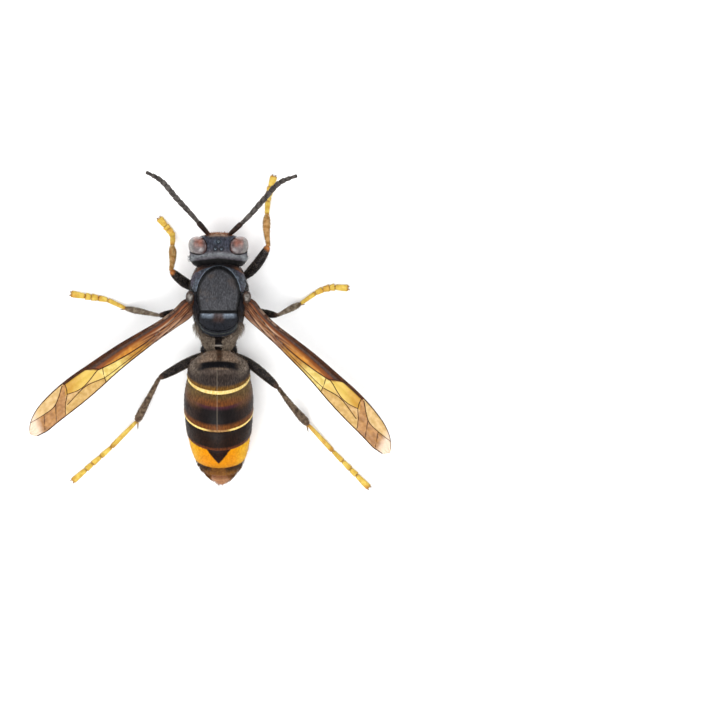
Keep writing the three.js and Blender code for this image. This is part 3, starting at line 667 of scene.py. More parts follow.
def face_plan(finish, place):
    x, y, z = finish.axes(place)
    slate = flecked(finish, place, "24262e", "484a56", 0.3, (2, 1, 1))
    violet = flecked(finish, place, "322f34", "575258", 0.25)
    crown = finish.mix((y + x.size() * 0.2).rise(6.5, 5.8), slate, violet)
    # A painted bluish highlight round the front simple eye, mixed in by its distance from it.
    highlight_distance = (((x + 0.05) / 0.55) ** 2 + ((y - 6.95) / 0.32) ** 2) ** 0.5
    crown = finish.mix(highlight_distance.rise(1.1, 0.5) * 0.6, crown, paint("5a6a78"))
    orange = finish.mix(z.rise(7.0, 7.6), flecked(finish, place, "96502a", "c88a54", 0.3),
                        flecked(finish, place, "8c6c58", "c8aa92", 0.3))
    below = z.rise(7.2, 6.6)
    ragged = x.size() + (z - 7.4) * 0.45 + (finish.noise(place, 0.5, 3) - 0.5) * 0.9
    front = y.rise(7.1, 7.5) * z.rise(8.35, 7.85) * below.maths("MAXIMUM", below, ragged.rise(1.75, 1.1))
    cheek = z.rise(4.9, 3.9)
    # The steep hind face of the head is painted near-black as shade.
    nape_shade = (y + x.size() * 0.12).rise(CROWN_EDGE, CROWN_EDGE - 0.25) * x.size().rise(3.5, 3.15)
    bead_ring = x * 0
    for across, ahead in OCELLI:
        apart = ((x - across) ** 2 + (y - ahead) ** 2) ** 0.5
        bead_ring = bead_ring + apart.rise(OCELLUS_RADIUS * 2, OCELLUS_RADIUS * 1.2)
    # A paler grey band runs along the crown's hind edge and over the temples.
    wear_and_highlight = furrow(y + x.size() * 0.12, CROWN_EDGE + 0.35, 0.45) + x.size().rise(2.6, 3.3) * y.rise(5.4, 5.0)
    crown = finish.mix(wear_and_highlight * 0.6, crown, flecked(finish, place, "6a6e72", "8e9294", 0.3))
    colour = finish.mix(front.maths("MAXIMUM", front, cheek), crown, orange)
    colour = finish.mix(bead_ring * z.rise(7.8, 8.2) * 0.7, colour, paint("101116"))
    return finish.mix(nape_shade, colour, flecked(finish, place, "030203", "0e0c0b", 0.3))


head = loft("head_shell", stations_of(HEAD_ROWS), 32, head_outline, smooth=2, matrix=UPRIGHT)
hollow = ball("hollow", HOLLOW_PLACE, HOLLOW_RADII)
less(head, hollow)
drop(hollow)
nudge(head, (0, 7.9, 6.9), (0, -0.12, 0), 1.0)
for side in SIDES.values():
    nudge(head, (side * 1.2, 7.9, 7.2), (0, -0.2, 0), 0.8)
print("head has", len(head.data.polygons), "faces")

# %% [markdown]
# An eye is a kidney: long from cheek to crown, with a bay on its inner edge where the feeler swings. It
# is lofted upright, leaning a little back, and the bay is one soft pull. Thousands of facets cover it,
# too fine to model, so cells in the bump stand for them. The front is red; the back and the outer side
# are painted a paler grey as reflected light, and a painted shadow line runs along the hind edge.

# %% Eyes
EYE_ROWS = [  # height, half width, half length, how far out
    (3.9, 0.25, 0.33, 2.3),
    (4.2, 0.45, 0.59, 2.4),
    (4.8, 0.75, 0.84, 2.5),
    (5.6, 0.9, 0.95, 2.6),
    (6.4, 0.97, 1.01, 2.65),
    (7.1, 1.1, 1.07, 2.53),
    (7.7, 1.1, 1.06, 2.38),
    (8.15, 1.0, 1.0, 2.26),
    (8.5, 0.84, 0.88, 2.14),
    (8.74, 0.6, 0.66, 2.02),
    (8.87, 0.32, 0.36, 1.94),
]
EYE_LEAN = -0.13  # of its upper end ahead of its lower end, for each millimetre of height
EYE_FOOT = 7.42  # how far ahead the line through the eye would meet the floor
SOCKET_GAP = 0.09  # between an eye and the shell round it


def eye_plan(finish, place):
    x, y, z = finish.axes(place)
    out = x.size() + (finish.noise(place, 0.5, 2) - 0.5) * 0.4
    red = flecked(finish, place, "5c3226", "8e5a4a", 0.3)
    # The back of the eye is painted a paler grey as reflected light.
    reflected_grey = flecked(finish, place, "433a3b", "766c6b", 0.35)
    upper = finish.mix(y.rise(6.0, 6.8), reflected_grey, red)
    # The eye's outer side is painted grey as reflected light too.
    upper = finish.mix(out.rise(2.7, 3.2), upper, flecked(finish, place, "45403d", "726c68", 0.3))
    upper = finish.mix(out.rise(2.05, 1.7), upper, flecked(finish, place, "2c1b19", "543a38", 0.3))
    colour = finish.mix(z.rise(7.7, 6.2), upper, flecked(finish, place, "3c1a12", "6c3624", 0.35))
    # A painted shadow line along the eye's hind edge, where it meets the head.
    hind_edge_shade = (y - x.size() * 0.1).rise(5.4, 5.2) * z.rise(6.0, 7.0)
    return finish.mix(hind_edge_shade, colour, paint("1c100d"))


eye_finish = Finish("eye_lens", Coat_Weight=0.35, Coat_Roughness=0.12, Roughness=0.32)
eye_place = eye_finish.place()
facets = eye_finish.cells(eye_place, 0.07).rise(0.5, 0.0)
eye_material = eye_finish.done(
    Base_Color=eye_plan(eye_finish, eye_place),
    Normal=eye_finish.bump(facets, 0.008),
)

eyes = {}
for name, side in SIDES.items():
    stations = [(z, half, long, EYE_FOOT + EYE_LEAN * z, 0, side * out) for z, half, long, out in EYE_ROWS]
    eye = loft(f"eye_{name}_lens", stations, 24, squared(0.85), smooth=2, matrix=UPRIGHT)
    nudge(eye, (side * 1.7, 6.9, 6.1), (side * 0.35, -0.15, 0), 0.75)
    eyes[name] = eye

for name, eye in eyes.items():
    socket = copy_of(eye, "socket")
    modify(socket, "DISPLACE", strength=SOCKET_GAP * MM, mid_level=0.0)
    less(head, socket)
    drop(socket)
    finished(eye, eye_material, "eye", f"eye_{name}")
finished(head, shell("head_colours", face_plan, pit=0.11), "black_cuticle", "head", sharp=40)
print("eyes are", round(2 * EYE_ROWS[5][2], 1), "mm long")

# %% [markdown]
# Three simple eyes sit in a small triangle on the crown. Each is a glass bead, half sunk in the shell. A
# ray cast down from above finds the shell's height where a bead belongs, which a table could only guess.

# %% Simple eyes
def top_of(piece, x, y):
    """The height of a piece's upper surface."""
    place = piece.ray_cast(at(x, y, 20), (0, 0, -1))[1]
    return own(place).z


bead = Finish("bead", Coat_Weight=0.35, Coat_Roughness=0.1, Roughness=0.25)
# Noise paints bluish glints of reflected light on the dark glass beads.
bead_glints = bead.noise(bead.place(), 0.2, 1)
bead_material = bead.done(Base_Color=bead.mix(bead_glints, paint("0c1014"), paint("2c3b49")))
beads = []
for x, y in OCELLI:
    place = (x, y, top_of(head, x, y) - 0.02)
    beads.append(ball("bead", place, (1, 1, 0.8), OCELLUS_RADIUS, segments=20, rings=12))
finished(join("simple_eyes", beads), bead_material, "eye")
print(len(beads), "simple eyes")

# %% [markdown]
# ## Thorax
# The thorax is a box of muscle in a shell of plates that meet in thin seams. It is lofted whole, from
# the waist to the neck, so that the plates share one form. Blocks then part it: each plate is what the
# whole has in common with its block, less the block of the plate that lies over it.

# %% Thorax in one piece
THORAX_ROWS = [  # ahead, half width, top, bottom
    (-6.15, 1.0, 5.1, 4.4),
    (-6.1, 1.3, 5.3, 4.2),
    (-5.4, 1.75, 6.5, 3.8),
    (-4.6, 2.12, 7.35, 3.5),
    (-3.7, 2.5, 8.35, 3.2),
    (-2.5, 3.0, 9.3, 3.05),
    (-1.0, 3.2, 9.6, 3.0),
    (0.4, 3.3, 9.55, 3.05),
    (1.8, 3.55, 9.1, 3.2),
    (3.0, 3.22, 8.45, 3.6),
    (3.7, 2.85, 7.95, 4.1),
    (4.2, 2.4, 7.3, 4.6),
    (4.42, 1.75, 6.75, 5.0),
]
THORAX_SQUARE = 0.86

FORWARDS = along_limb(at(0, 0, 0), at(0, 1, 0))
whole = loft("whole_thorax", stations_of(THORAX_ROWS), 32, squared(THORAX_SQUARE), smooth=2, matrix=FORWARDS)
for side in SIDES.values():
    nudge(whole, (side * 3.3, 0.6, 5.6), (side * 0.22, 0, 0), 2.0)
    nudge(whole, (side * 2.6, -3.7, 5.0), (side * 0.15, 0, 0), 1.2)
    nudge(whole, (side * 1.3, -4.9, 7.0), (0, 0, 0.22), 1.0)
    nudge(whole, (side * 2.95, -0.9, 8.2), (-side * 0.25, 0, 0), 0.9)
nudge(whole, (0, -5.3, 6.6), (0, 0.15, -0.4), 0.9)
print("the whole thorax has", len(whole.data.polygons), "faces")

# %% [markdown]
# Two kinds of block are needed. An arch is a cylinder whose one half is drawn out and whose other half
# is pressed flat, which is the outline of the back plates seen from above. The collar's block is a cube
# that two cuts bevel, so that the collar runs obliquely down to the fore legs.

# %% Blocks that part the plates
BLOCK_HEIGHT = 5.0


def arch(half, round_end, shoulder, square_end, floor_height, taper=1.0):
    """An upright block, round at one end and square at the other, which the taper narrows."""
    block = start(bpy.ops.mesh.primitive_cylinder_add, "block", vertices=64, radius=half * MM,
                  depth=BLOCK_HEIGHT * MM, location=at(0, shoulder, floor_height + BLOCK_HEIGHT / 2))
    settle(block)
    way = math.copysign(1, round_end - shoulder)
    middle = at(0, shoulder, 0)
    with edit(block):
        pick(lambda co, _: (co.y - middle.y) * way < -TOUCHING)
        bpy.ops.transform.resize(value=(taper, 0, 1), center_override=at(0, square_end, 0))
        pick(lambda co, _: (co.y - middle.y) * way > TOUCHING)
        bpy.ops.transform.resize(value=(1, abs(round_end - shoulder) / half, 1), center_override=middle)
    return block


def cube(low, high):
    middle = [(a + b) / 2 for a, b in zip(low, high)]
    block = start(bpy.ops.mesh.primitive_cube_add, "block", size=MM, location=at(*middle))
    block.scale = [b - a for a, b in zip(low, high)]
    return settle(block)


def shared(source, block, name):
    return less(copy_of(source, name), block, operation="INTERSECT")


SHIELD_HALF, SHIELD_FRONT, SHIELD_SHOULDER = 2.62, 4.0, 0.3
SADDLE_HALF = 2.35
SADDLE_FRONT = -1.45  # where the groove before the saddle runs
BAND_FRONT = -2.3

shield_block = arch(SHIELD_HALF, SHIELD_FRONT, SHIELD_SHOULDER, SADDLE_FRONT, 7.0, taper=0.87)
saddle_block = arch(SADDLE_HALF, -3.75, BAND_FRONT, SADDLE_FRONT, 7.6, taper=0.96)
band_block = arch(SADDLE_HALF, -4.5, -2.9, BAND_FRONT, 6.6)
rear_block = cube((-5, -8, 0), (5, -4.1, 12))
collar_block = cube((-5, 0.9, 3), (5, 6, 12))
COLLAR_EDGE = [(0.9, 7.7), (3.2, 5.0), (6.0, 4.5)]  # ahead and height
for (y, z), (next_y, next_z) in zip(COLLAR_EDGE, COLLAR_EDGE[1:]):
    with edit(collar_block):
        bpy.ops.mesh.select_all(action="SELECT")
        upwards = (0, z - next_z, next_y - y)
        bpy.ops.mesh.bisect(plane_co=at(0, y, z), plane_no=upwards, use_fill=True, clear_inner=True)
print("the collar's block has", len(collar_block.data.polygons), "faces")

# %% [markdown]
# A Boolean leaves a razor edge, and a real seam is a soft furrow. Each plate is therefore rebuilt in
# fine cubes, drawn in a little, which opens the seams, and smoothed, which rounds their lips. The cubes
# can't be finer than a tenth of a millimetre, so a plate is made ten times as large for that step.
# The flanks lose five blocks in turn. The big ones go first: after a cut that leaves flat walls where
# the next block's walls lie, a Boolean can leave scraps behind.

# %% Plates
SEAM = 0.1  # width of a seam
CUBES = 0.085  # size of the cubes that a plate is rebuilt in
ENLARGED = 10
SMOOTHINGS = 9
MEMBRANE_DEPTH = 0.28  # of the skin under the seams


def plate(piece):
    """Rebuilds a piece with round lips, half a seam smaller all round."""
    settle(piece, Matrix.Scale(ENLARGED, 4))
    modify(piece, "REMESH", mode="VOXEL", voxel_size=CUBES * MM * ENLARGED)
    settle(piece, Matrix.Scale(1 / ENLARGED, 4))
    modify(piece, "DISPLACE", strength=-SEAM / 2 * MM, mid_level=0.0)
    modify(piece, "SMOOTH", factor=0.5, iterations=SMOOTHINGS)
    return piece


membrane = modify(copy_of(whole, "seam_skin"), "DISPLACE", strength=-MEMBRANE_DEPTH * MM, mid_level=0.0)
scutum = plate(shared(whole, shield_block, "scutum_plate"))
scutellum = plate(shared(whole, saddle_block, "scutellum_plate"))
back_band = plate(less(shared(whole, band_block, "back_band"), saddle_block))
rear = plate(less(shared(whole, rear_block, "rear_plate"), band_block))
collar = plate(less(shared(whole, collar_block, "collar_plate"), shield_block))
flanks = plate(less(copy_of(whole, "flank_plates"), collar_block, rear_block, band_block, saddle_block,
                    shield_block))
for side in SIDES.values():
    nudge(scutellum, (side * 0.95, -2.5, 9.3), (0, 0, 0.22), 1.1)
nudge(scutellum, (0, -2.4, 9.35), (0, 0, -0.08), 0.6)
nudge(back_band, (0, -4.1, 8.0), (0, -0.08, 0.15), 0.9)
plates = (scutum, scutellum, back_band, rear, collar, flanks)
print("plates have", [len(piece.data.polygons) for piece in plates], "faces")

# %% [markdown]
# The back is velvet: a coat of hairs too short to see one by one greys the black. Sheen gives that, and
# a few long furrows run over the middle plate. They are drawn into the relief by their distance from
# the middle line, and fade out before the plate's edges.

# %% Velvet of the back
def egg_of(x, y):
    """How far out a point is from the middle of the egg-shaped plate, 1 at the plate's edge."""
    before = y.maths("MAXIMUM", y - SHIELD_SHOULDER, 0.0) / (SHIELD_FRONT - SHIELD_SHOULDER)
    narrowing = y.maths("MAXIMUM", SHIELD_SHOULDER - y, 0.0) * 0.075 + 1
    return ((x * narrowing / SHIELD_HALF) ** 2 + before ** 2) ** 0.5


def velvet_plan(finish, place):
    x, y, z = finish.axes(place)
    nap = (2, 0.7, 1)
    # Near-black painted shade along the seam round the shield plate and in the groove before the saddle.
    seam_shade = flecked(finish, place, "020202", "09090b")
    uneven = finish.noise(place, 0.8, 2) * 0.08
    bloom = flecked(finish, place, "2b2b2e", "4c4c50", 0.25, nap)
    brown = flecked(finish, place, "3a302a", "544840", 0.3)
    bloom = finish.mix(finish.noise(place, 1.3, 2).rise(0.52, 0.7) * 0.5, bloom, brown)
    back = finish.mix((egg_of(x, y) + uneven).rise(0.87, 0.98), bloom, seam_shade)
    on_saddle = y.rise(-1.35, -1.5)
    saddle = flecked(finish, place, "0a0b11", "191c24", 0.3, nap)
    lit = y.rise(-2.4, -1.8) * x.size().rise(2.3, 1.7)
    saddle = finish.mix(lit, saddle, flecked(finish, place, "565e68", "808a96", 0.3))
    rusty = x.size().rise(0.95, 0.3) * y.rise(-3.0, -2.3)
    saddle = finish.mix(rusty * 0.85, saddle, flecked(finish, place, "2a1a15", "402a24", 0.3))
    hind = y.maths("MINIMUM", y + 3.0, 0.0) / 1.15
    bow = ((x / 2.3) ** 2 + hind ** 2) ** 0.5
    rim = bow.rise(0.9, 0.95) * bow.rise(1.02, 0.97) * y.rise(-2.6, -3.2)
    saddle = finish.mix(rim * 0.8, saddle, flecked(finish, place, "2a2e2b", "4c5048", 0.3))
    groove = (y + 1.46).size().rise(0.26, 0.16)
    return finish.mix(groove, finish.mix(on_saddle, back, saddle), seam_shade)


velvet = Finish("velvet_back", Sheen_Weight=0.12, Specular_IOR_Level=0.2, Sheen_Tint=paint("aab0bb"))
velvet_place = velvet.place()
across, ahead, _ = velvet.axes(velvet_place)
on_scutum = ahead.rise(-1.2, -0.6)
middle_line = furrow(across, 0, 0.07) * on_scutum
side_lines = furrow(across.size(), 1.05, 0.08) * on_scutum * ahead.rise(1.9, 1.1)
nap = velvet.noise(velvet_place, 0.05, 3)
pits = velvet.cells(velvet_place, 0.12).rise(0.1, 0.4)
velvet_relief = velvet.bump(
    middle_line + side_lines, -0.06,
    velvet.bump(pits, 0.012, velvet.bump(nap, 0.01)),
)
velvet_material = velvet.done(
    Base_Color=velvet_plan(velvet, velvet_place),
    Roughness=0.42 + nap * 0.25,
    Normal=velvet_relief,
)


def shoulder_plan(finish, place):
    x, y, z = finish.axes(place)
    grey = flecked(finish, place, "262a31", "525963", 0.4)
    violet = flecked(finish, place, "2b2732", "4f4958", 0.5)
    dark_rust = flecked(finish, place, "170d0a", "3a2317", 0.4)
    rust = finish.mix(x.size().rise(1.3, 2.5), dark_rust, flecked(finish, place, "3c2012", "744a2e", 0.4))
    rim = (y + x * x * 0.1).rise(3.92, 4.12)
    colour = finish.mix(rim, finish.mix(finish.noise(place, 1.5, 1).rise(0.45, 0.65), grey, violet), rust)
    lip = egg_of(x, y).band(1.0, 1.05, 0.015)
    return finish.mix(lip * 0.6, colour, paint("6c7680"))


def waist_plan(finish, place):
    x, y, z = finish.axes(place)
    dark = flecked(finish, place, "0a0808", "1a1412", 0.3)
    fuzz_and_sheen = flecked(finish, place, "2c221c", "5e5044", 0.25)
    # A pale painted glint along the hind rim of this plate, by the waist, near the middle.
    rim = furrow(y - x * x * 0.05, -5.5, 0.16)
    colour = finish.mix(x.size().rise(0.5, 1.5), dark, fuzz_and_sheen)
    return finish.mix(rim * x.size().rise(1.7, 1.4), colour, paint("8d857c"))


finished(membrane, black_shell, "black_cuticle")
finished(scutum, velvet_material, "velvet_cuticle", "mesoscutum")
finished(scutellum, velvet_material, "velvet_cuticle", "scutellum")
finished(back_band, velvet_material, "velvet_cuticle", "metanotum")
finished(collar, shell("collar_colours", shoulder_plan, Sheen_Weight=0.2, Sheen_Tint=paint("9fa8b8")),
         "black_cuticle", "pronotum")
finished(flanks, black_shell, "black_cuticle", "thorax")
finished(rear, shell("waist_colours", waist_plan), "black_cuticle", "propodeum")
drop(whole, shield_block, saddle_block, band_block, rear_block, collar_block)
print("the thorax brought it to", len(made), "pieces")

# %% [markdown]
# The neck is a short stout stalk that runs into the hollow of the head. Over the root of each wing
# lies a scale like a watch glass. It is a ball pressed flat, tilted outwards and cut level below.

# %% Neck and wing scales
neck = limb("neck_stalk", [(0, 3.6, 5.8), (0, 5.8, 6.1)],
            [(0, 1.15, 1.2), (0.2, 1.05, 1.05), (0.6, 0.92, 0.92), (0.8, 1.0, 1.0), (1, 1.02, 1.02)])
finished(neck, black_shell, "black_cuticle", "neck")

SCALE_PLACE = (3.42, 0.32, 8.06)
SCALE_RADII = (0.53, 0.78, 0.4)
SCALE_TILT = 0.4  # radians


def scale_plan(finish, place):
    x, y, z = finish.axes(place)
    aside = (x.size() - SCALE_PLACE[0]) / SCALE_RADII[0]
    out = (aside ** 2 + ((y - SCALE_PLACE[1]) / SCALE_RADII[1]) ** 2) ** 0.5
    # The paler middle of the scale is a painted highlight, as on a glossy dome; the dark rim is its own
    # brown-black.
    wear_and_highlight = flecked(finish, place, "443f3b", "807a73", 0.25)
    return finish.mix((out + finish.noise(place, 0.4, 2) * 0.4).rise(0.5, 1.0), wear_and_highlight,
                      flecked(finish, place, "1c1411", "4a382e", 0.3))


scale_material = shell("scale_colours", scale_plan, rough=0.28, pit_depth=0.002, Coat_Weight=0.3)
for name, side in SIDES.items():
    place = (side * SCALE_PLACE[0], *SCALE_PLACE[1:])
    scale = ball(f"wing_scale_{name}", place, SCALE_RADII, segments=40, rings=24)
    with edit(scale):
        bpy.ops.mesh.select_all(action="SELECT")
        bpy.ops.transform.rotate(value=-side * SCALE_TILT, orient_axis="Y", center_override=at(*place))
        bpy.ops.mesh.bisect(plane_co=at(0, 0, SCALE_PLACE[2] - 0.08), plane_no=(0, 0, 1), use_fill=True,
                            clear_inner=True)
    modify(scale, "BEVEL", width=0.05 * MM, segments=3, limit_method="ANGLE")
    finished(scale, scale_material, "brown_cuticle", f"tegula_{name}", sharp=50)
print("the scales are", 2 * SCALE_RADII[1], "mm long")

# %% [markdown]
# ## Abdomen
# Six rings overlap like the tubes of a telescope: each one's hind edge is a thin lip that covers the
# front of the next. The whole abdomen has one form, given as rows, and every ring is lofted from that
# form. It starts a little narrower, under the lip before it, and ends in a lip of its own that turns in.

# %% Form of the abdomen
ABDOMEN_ROWS = [  # behind the roots, half width, above, below, middle's height, lean, shift to the side
    (6.0, 1.0, 0.6, 0.6, 5.0, 0, 0),
    (6.25, 1.55, 1.1, 0.9, 5.0, 0, 0),
    (6.6, 2.1, 1.7, 1.15, 5.05, 0.05, 0),
    (7.0, 2.8, 2.3, 1.4, 5.1, 0.1, 0),
    (7.5, 3.38, 2.85, 1.8, 5.1, 0.2, 0),
    (8.2, 3.7, 3.4, 2.3, 5.1, 0.38, 0),
    (9.35, 3.78, 3.7, 2.95, 5.1, 0.53, 0),
    (11.8, 4.15, 3.9, 3.45, 5.0, 0.54, 0),
    (13.75, 4.14, 3.85, 3.35, 4.8, 0.55, 0),
    (16.1, 3.84, 3.45, 2.8, 4.35, 0.58, 0.05),
    (18.9, 3.08, 2.4, 1.9, 3.55, 0.55, 0.15),
    (20.6, 2.12, 1.6, 1.35, 3.05, 0.35, 0.2),
    (21.7, 1.0, 0.8, 0.75, 2.7, 0.15, 0.27),
    (22.2, 0.3, 0.3, 0.3, 2.55, 0, 0.3),
]
RING_ENDS = [6.3, 9.35, 13.73, 16.06, 18.8, 20.5, 22.2]
# Front and hind part of a ring: how far behind its front or its end, and its scale.
TUCK = [(-0.6, 0.88), (-0.25, 0.925), (0.0, 0.955), (0.2, 0.972), (0.5, 0.988), (0.85, 0.997)]
LIP = [(-0.75, 1.0), (-0.3, 1.004), (-0.02, 1.01), (0.06, 1.003), (0.05, 0.99), (-0.15, 0.98),
       (-0.7, 0.965)]
BACKWARDS = along_limb(at(0, 0, 0), at(0, -1, 0))
abdomen_form = profile(ABDOMEN_ROWS)


def ring(behind, scale):
    """A station of the abdomen's form, at a share of its full size."""
    half, above, below, middle, lean, shift = abdomen_form(behind)
    offset = (above - below) / 2
    return (behind + lean * offset * scale, half * scale, (above + below) / 2 * scale,
            middle + offset * scale, lean, shift)


# The back plate of a ring laps over its belly plate, which is a little narrower.
# Both are widest low down, as a barrel is that has sagged.
LAP = math.radians(-32)
LAP_SOFT = math.radians(8)
BELLY = 0.955
SAG = 0.25  # of the widest place, as a share of half the ring's depth


def lapped(turn):
    share = min(max((turn - LAP + LAP_SOFT) / (2 * LAP_SOFT), 0), 1)
    size = BELLY + (1 - BELLY) * share
    height = math.sin(turn)
    return math.cos(turn) * size, height * size * (1 + SAG if height > 0 else 1 - SAG) - SAG


print("the abdomen is", RING_ENDS[-1] - RING_ENDS[0], "mm long")

# %% [markdown]
# The bands follow the rings, not the floor, and a ring leans. So each point carries a mark, how far
# behind the wing roots its ring lies, and the colours change where that mark says. A little noise is
# added to the mark first, because no band on a real animal has a ruled edge.

# %% Bands
SILK = (2.2, 0.6, 1.5)  # how fine the flecks are across, along and up, which draws them out like hairs
SILK_SIZE = 0.28


def banded(finish, place, first, *bands, wander=0.12):
    """Each band is where it starts, how soft that edge is, and its darker and lighter colour."""
    mark = finish.mark() + (finish.noise(place, 0.5, 3, stretch=(0.5, 1, 1)) - 0.5) * wander
    colour = flecked(finish, place, *first, SILK_SIZE, SILK)
    for where, soft, dark, light in bands:
        share = mark.rise(where - soft, where + soft)
        colour = finish.mix(share, colour, flecked(finish, place, dark, light, SILK_SIZE, SILK))
    return colour


def midline(finish, place, colour):
    """A faint pale line down the middle of a ring's back."""
    x, y, z = finish.axes(place)
    return finish.mix(furrow(x, -0.15, 0.13) * 0.22, colour, paint("8d8272"))


print("flecks are", round(SILK_SIZE / SILK[1], 2), "mm long")

# %% [markdown]
# Each ring has a plan of its own. The first slopes up from the waist, greyish below with a painted sheen
# of its down, crossed by a black mark that painted shade on its hollow front deepens, and ends in a thin
# yellow line. The second is orange-brown with a dark belt, the third is nearly black, the fourth is gold
# with a black wedge, and the last two are brown. Patches that the bands can't give, such as the wedge,
# are drawn by their distance from the middle.

# %% Plans of the first three rings
def first_plan(finish, place):
    x, y, z = finish.axes(place)
    bands = [
        (7.64, 0.08, "342b26", "584c44"),
        (7.95, 0.2, "221b18", "3e342f"),
        (8.78, 0.16, "4a300e", "76521c"),
        (9.12, 0.03, "cfac56", "ecd898"),
    ]
    colour = midline(finish, place, banded(finish, place, ("5e4c3e", "a28c78"), *bands, wander=0.05))
    stalk = (x - 0.1).size().rise(0.55, 0.15) * finish.mark().rise(7.2, 6.9)
    colour = finish.mix(stalk * 0.85, colour, flecked(finish, place, "1c110b", "4a2c18", SILK_SIZE))
    # Greyish sides low on the front of the ring: a painted sheen of its silky down.
    fuzz_and_sheen = x.size().rise(1.8, 3.0) * z.rise(4.8, 5.6) * finish.mark().rise(8.6, 7.6)
    colour = finish.mix(fuzz_and_sheen, colour, flecked(finish, place, "463b32", "86786a", SILK_SIZE))
    # The black mark is the ring's own black, deepened by painted shade on its hollow front face.
    black = (finish.mark() - x * x * 0.045).band(7.04, 7.58, 0.12) * x.size().rise(3.3, 1.8)
    return finish.mix(black * z.rise(5.0, 5.8), colour, flecked(finish, place, "040406", "0f0f13"))


def second_plan(finish, place):
    x, y, z = finish.axes(place)
    sides = x.size().rise(1.6, 3.4)
    front = [
        (9.95, 0.35, "4a2810", "6e3e18"),
        (10.7, 0.15, "35161e", "45202a"),
    ]
    back = [
        (13.0, 0.25, "4c280c", "724014"),
        (13.55, 0.03, "dcb65a", "f4dc92"),
    ]
    middle = banded(finish, place, ("3c2c16", "5c4524"), *front, (11.05, 0.3, "080404", "140c0c"),
                    *back, wander=0.08)
    flank = banded(finish, place, ("46351c", "6a5430"), (10.35, 0.6, "4a3018", "66442a"),
                   (11.35, 0.6, "1c110d", "30201a"), *back, wander=0.08)
    colour = midline(finish, place, finish.mix(sides, middle, flank))
    wear_and_highlight = finish.mark().rise(13.5, 13.56) * x.size().rise(2.0, 0.8)
    return finish.mix(wear_and_highlight * 0.85, colour, flecked(finish, place, "58301a", "8c5a34", SILK_SIZE, SILK))


def third_plan(finish, place):
    bands = [(14.65, 0.5, "150a05", "26140b"), (15.8, 0.12, "42200f", "643418")]
    return banded(finish, place, ("120a07", "20130d"), *bands, wander=0.15)


print("the second ring's yellow line is", round(RING_ENDS[2] - 13.55, 2), "mm wide")

# %% Plans of the last three rings
def fourth_plan(finish, place):
    x, y, z = finish.axes(place)
    gold = banded(finish, place, ("be7400", "d68a00"), (18.4, 0.3, "ac6808", "c4820c"))
    yellow = flecked(finish, place, "c48c00", "dcaa10", SILK_SIZE, SILK)
    gold = finish.mix(x.size().rise(1.6, 3.2), gold, yellow)
    mark = finish.mark()
    wedge = (x - 0.02).size() ** 0.9 + (mark - 16.06) * 0.73
    uneven = (finish.noise(place, 0.35, 3) - 0.5) * 0.3
    black = (wedge + uneven).rise(1.6, 1.4) * z.rise(4.6, 5.2)
    return finish.mix(black, gold, flecked(finish, place, "110503", "240d07"))


def edged(finish, place, colour, near, far):
    """Blackish sides, in ragged flecks, beyond a distance from the middle."""
    x = finish.axes(place)[0]
    ragged = (x - 0.2).size() + (finish.noise(place, 0.4, 3) - 0.5) * 0.9
    return finish.mix(ragged.rise(near, far) * 0.75, colour, paint("1c0e07"))


def fifth_plan(finish, place):
    bands = [(19.75, 0.35, "5e380e", "865417")]
    colour = banded(finish, place, ("1a0e07", "42280f"), *bands, wander=0.3)
    wear_and_highlight = finish.axes(place)[0].size() + (finish.noise(place, 0.4, 3) - 0.5) * 0.9
    brown = flecked(finish, place, "6a3e12", "96601e", SILK_SIZE, SILK)
    colour = finish.mix(wear_and_highlight.rise(1.3, 0.5) * 0.6, colour, brown)
    return edged(finish, place, colour, 1.5, 2.4)


def sixth_plan(finish, place):
    bands = [(21.2, 0.3, "7e4e2c", "a67446")]
    return edged(finish, place, banded(finish, place, ("5c3216", "845028"), *bands, wander=0.3), 0.9, 1.6)


print("six rings have their colours")

# %% [markdown]
# With form and colours ready, the rings themselves are one loop. Only the first and the last differ in
# their stations: the first begins at the waist with no lip before it, and the last closes to a point.

# %% Rings
RINGS = [  # name, the record's name for its finish, and plan
    ("first_ring", "brown_cuticle", first_plan),
    ("second_ring", "banded_cuticle", second_plan),
    ("third_ring", "brown_cuticle", third_plan),
    ("fourth_ring", "gold_cuticle", fourth_plan),
    ("fifth_ring", "brown_cuticle", fifth_plan),
    ("sixth_ring", "banded_cuticle", sixth_plan),
]
ABDOMEN_SIDES = 40
FIRST_PLACES = [(5.95, 0.8), (6.1, 1), (6.4, 1), (6.75, 1), (7.1, 1), (7.5, 1), (7.9, 1), (8.3, 1)]
STEP = 0.55  # between the stations of a ring's middle part
rings = []
for k, (name, slot, plan) in enumerate(RINGS):
    front, end = RING_ENDS[k:k + 2]
    places = [(front + step, scale) for step, scale in TUCK] if k else [*FIRST_PLACES]
    if k == len(RINGS) - 1:
        places += [(front + 1.0, 1), (front + 1.2, 1), (end - 0.08, 1), (end + 0.02, 0.6)]
    else:
        places += [(behind, 1) for behind in np.arange(places[-1][0] + 0.45, end - 0.9, STEP)]
        places += [(end + step, scale) for step, scale in LIP]
    piece = loft(name, [ring(*spot) for spot in places], ABDOMEN_SIDES, lapped, smooth=2, matrix=BACKWARDS,
                 marks=[behind for behind, _ in places])
    material = shell(name + "_colours", plan, rough=0.42, pit=0.16, pit_depth=0.008)
    rings.append(finished(piece, material, slot, f"abdomen_{k + 1}", sharp=60))
print("the last ring has", len(piece.data.polygons), "faces")

# %% [markdown]
# ## Legs
# Each leg has the same pieces: a stout hip, a thigh, a shin with spurs, and a foot of five joints with
# two claws. Only their places differ. One table holds the places, and one function makes a leg of them.
# A joint of a foot and a claw are each modelled once, one millimetre long, and copied to their places.

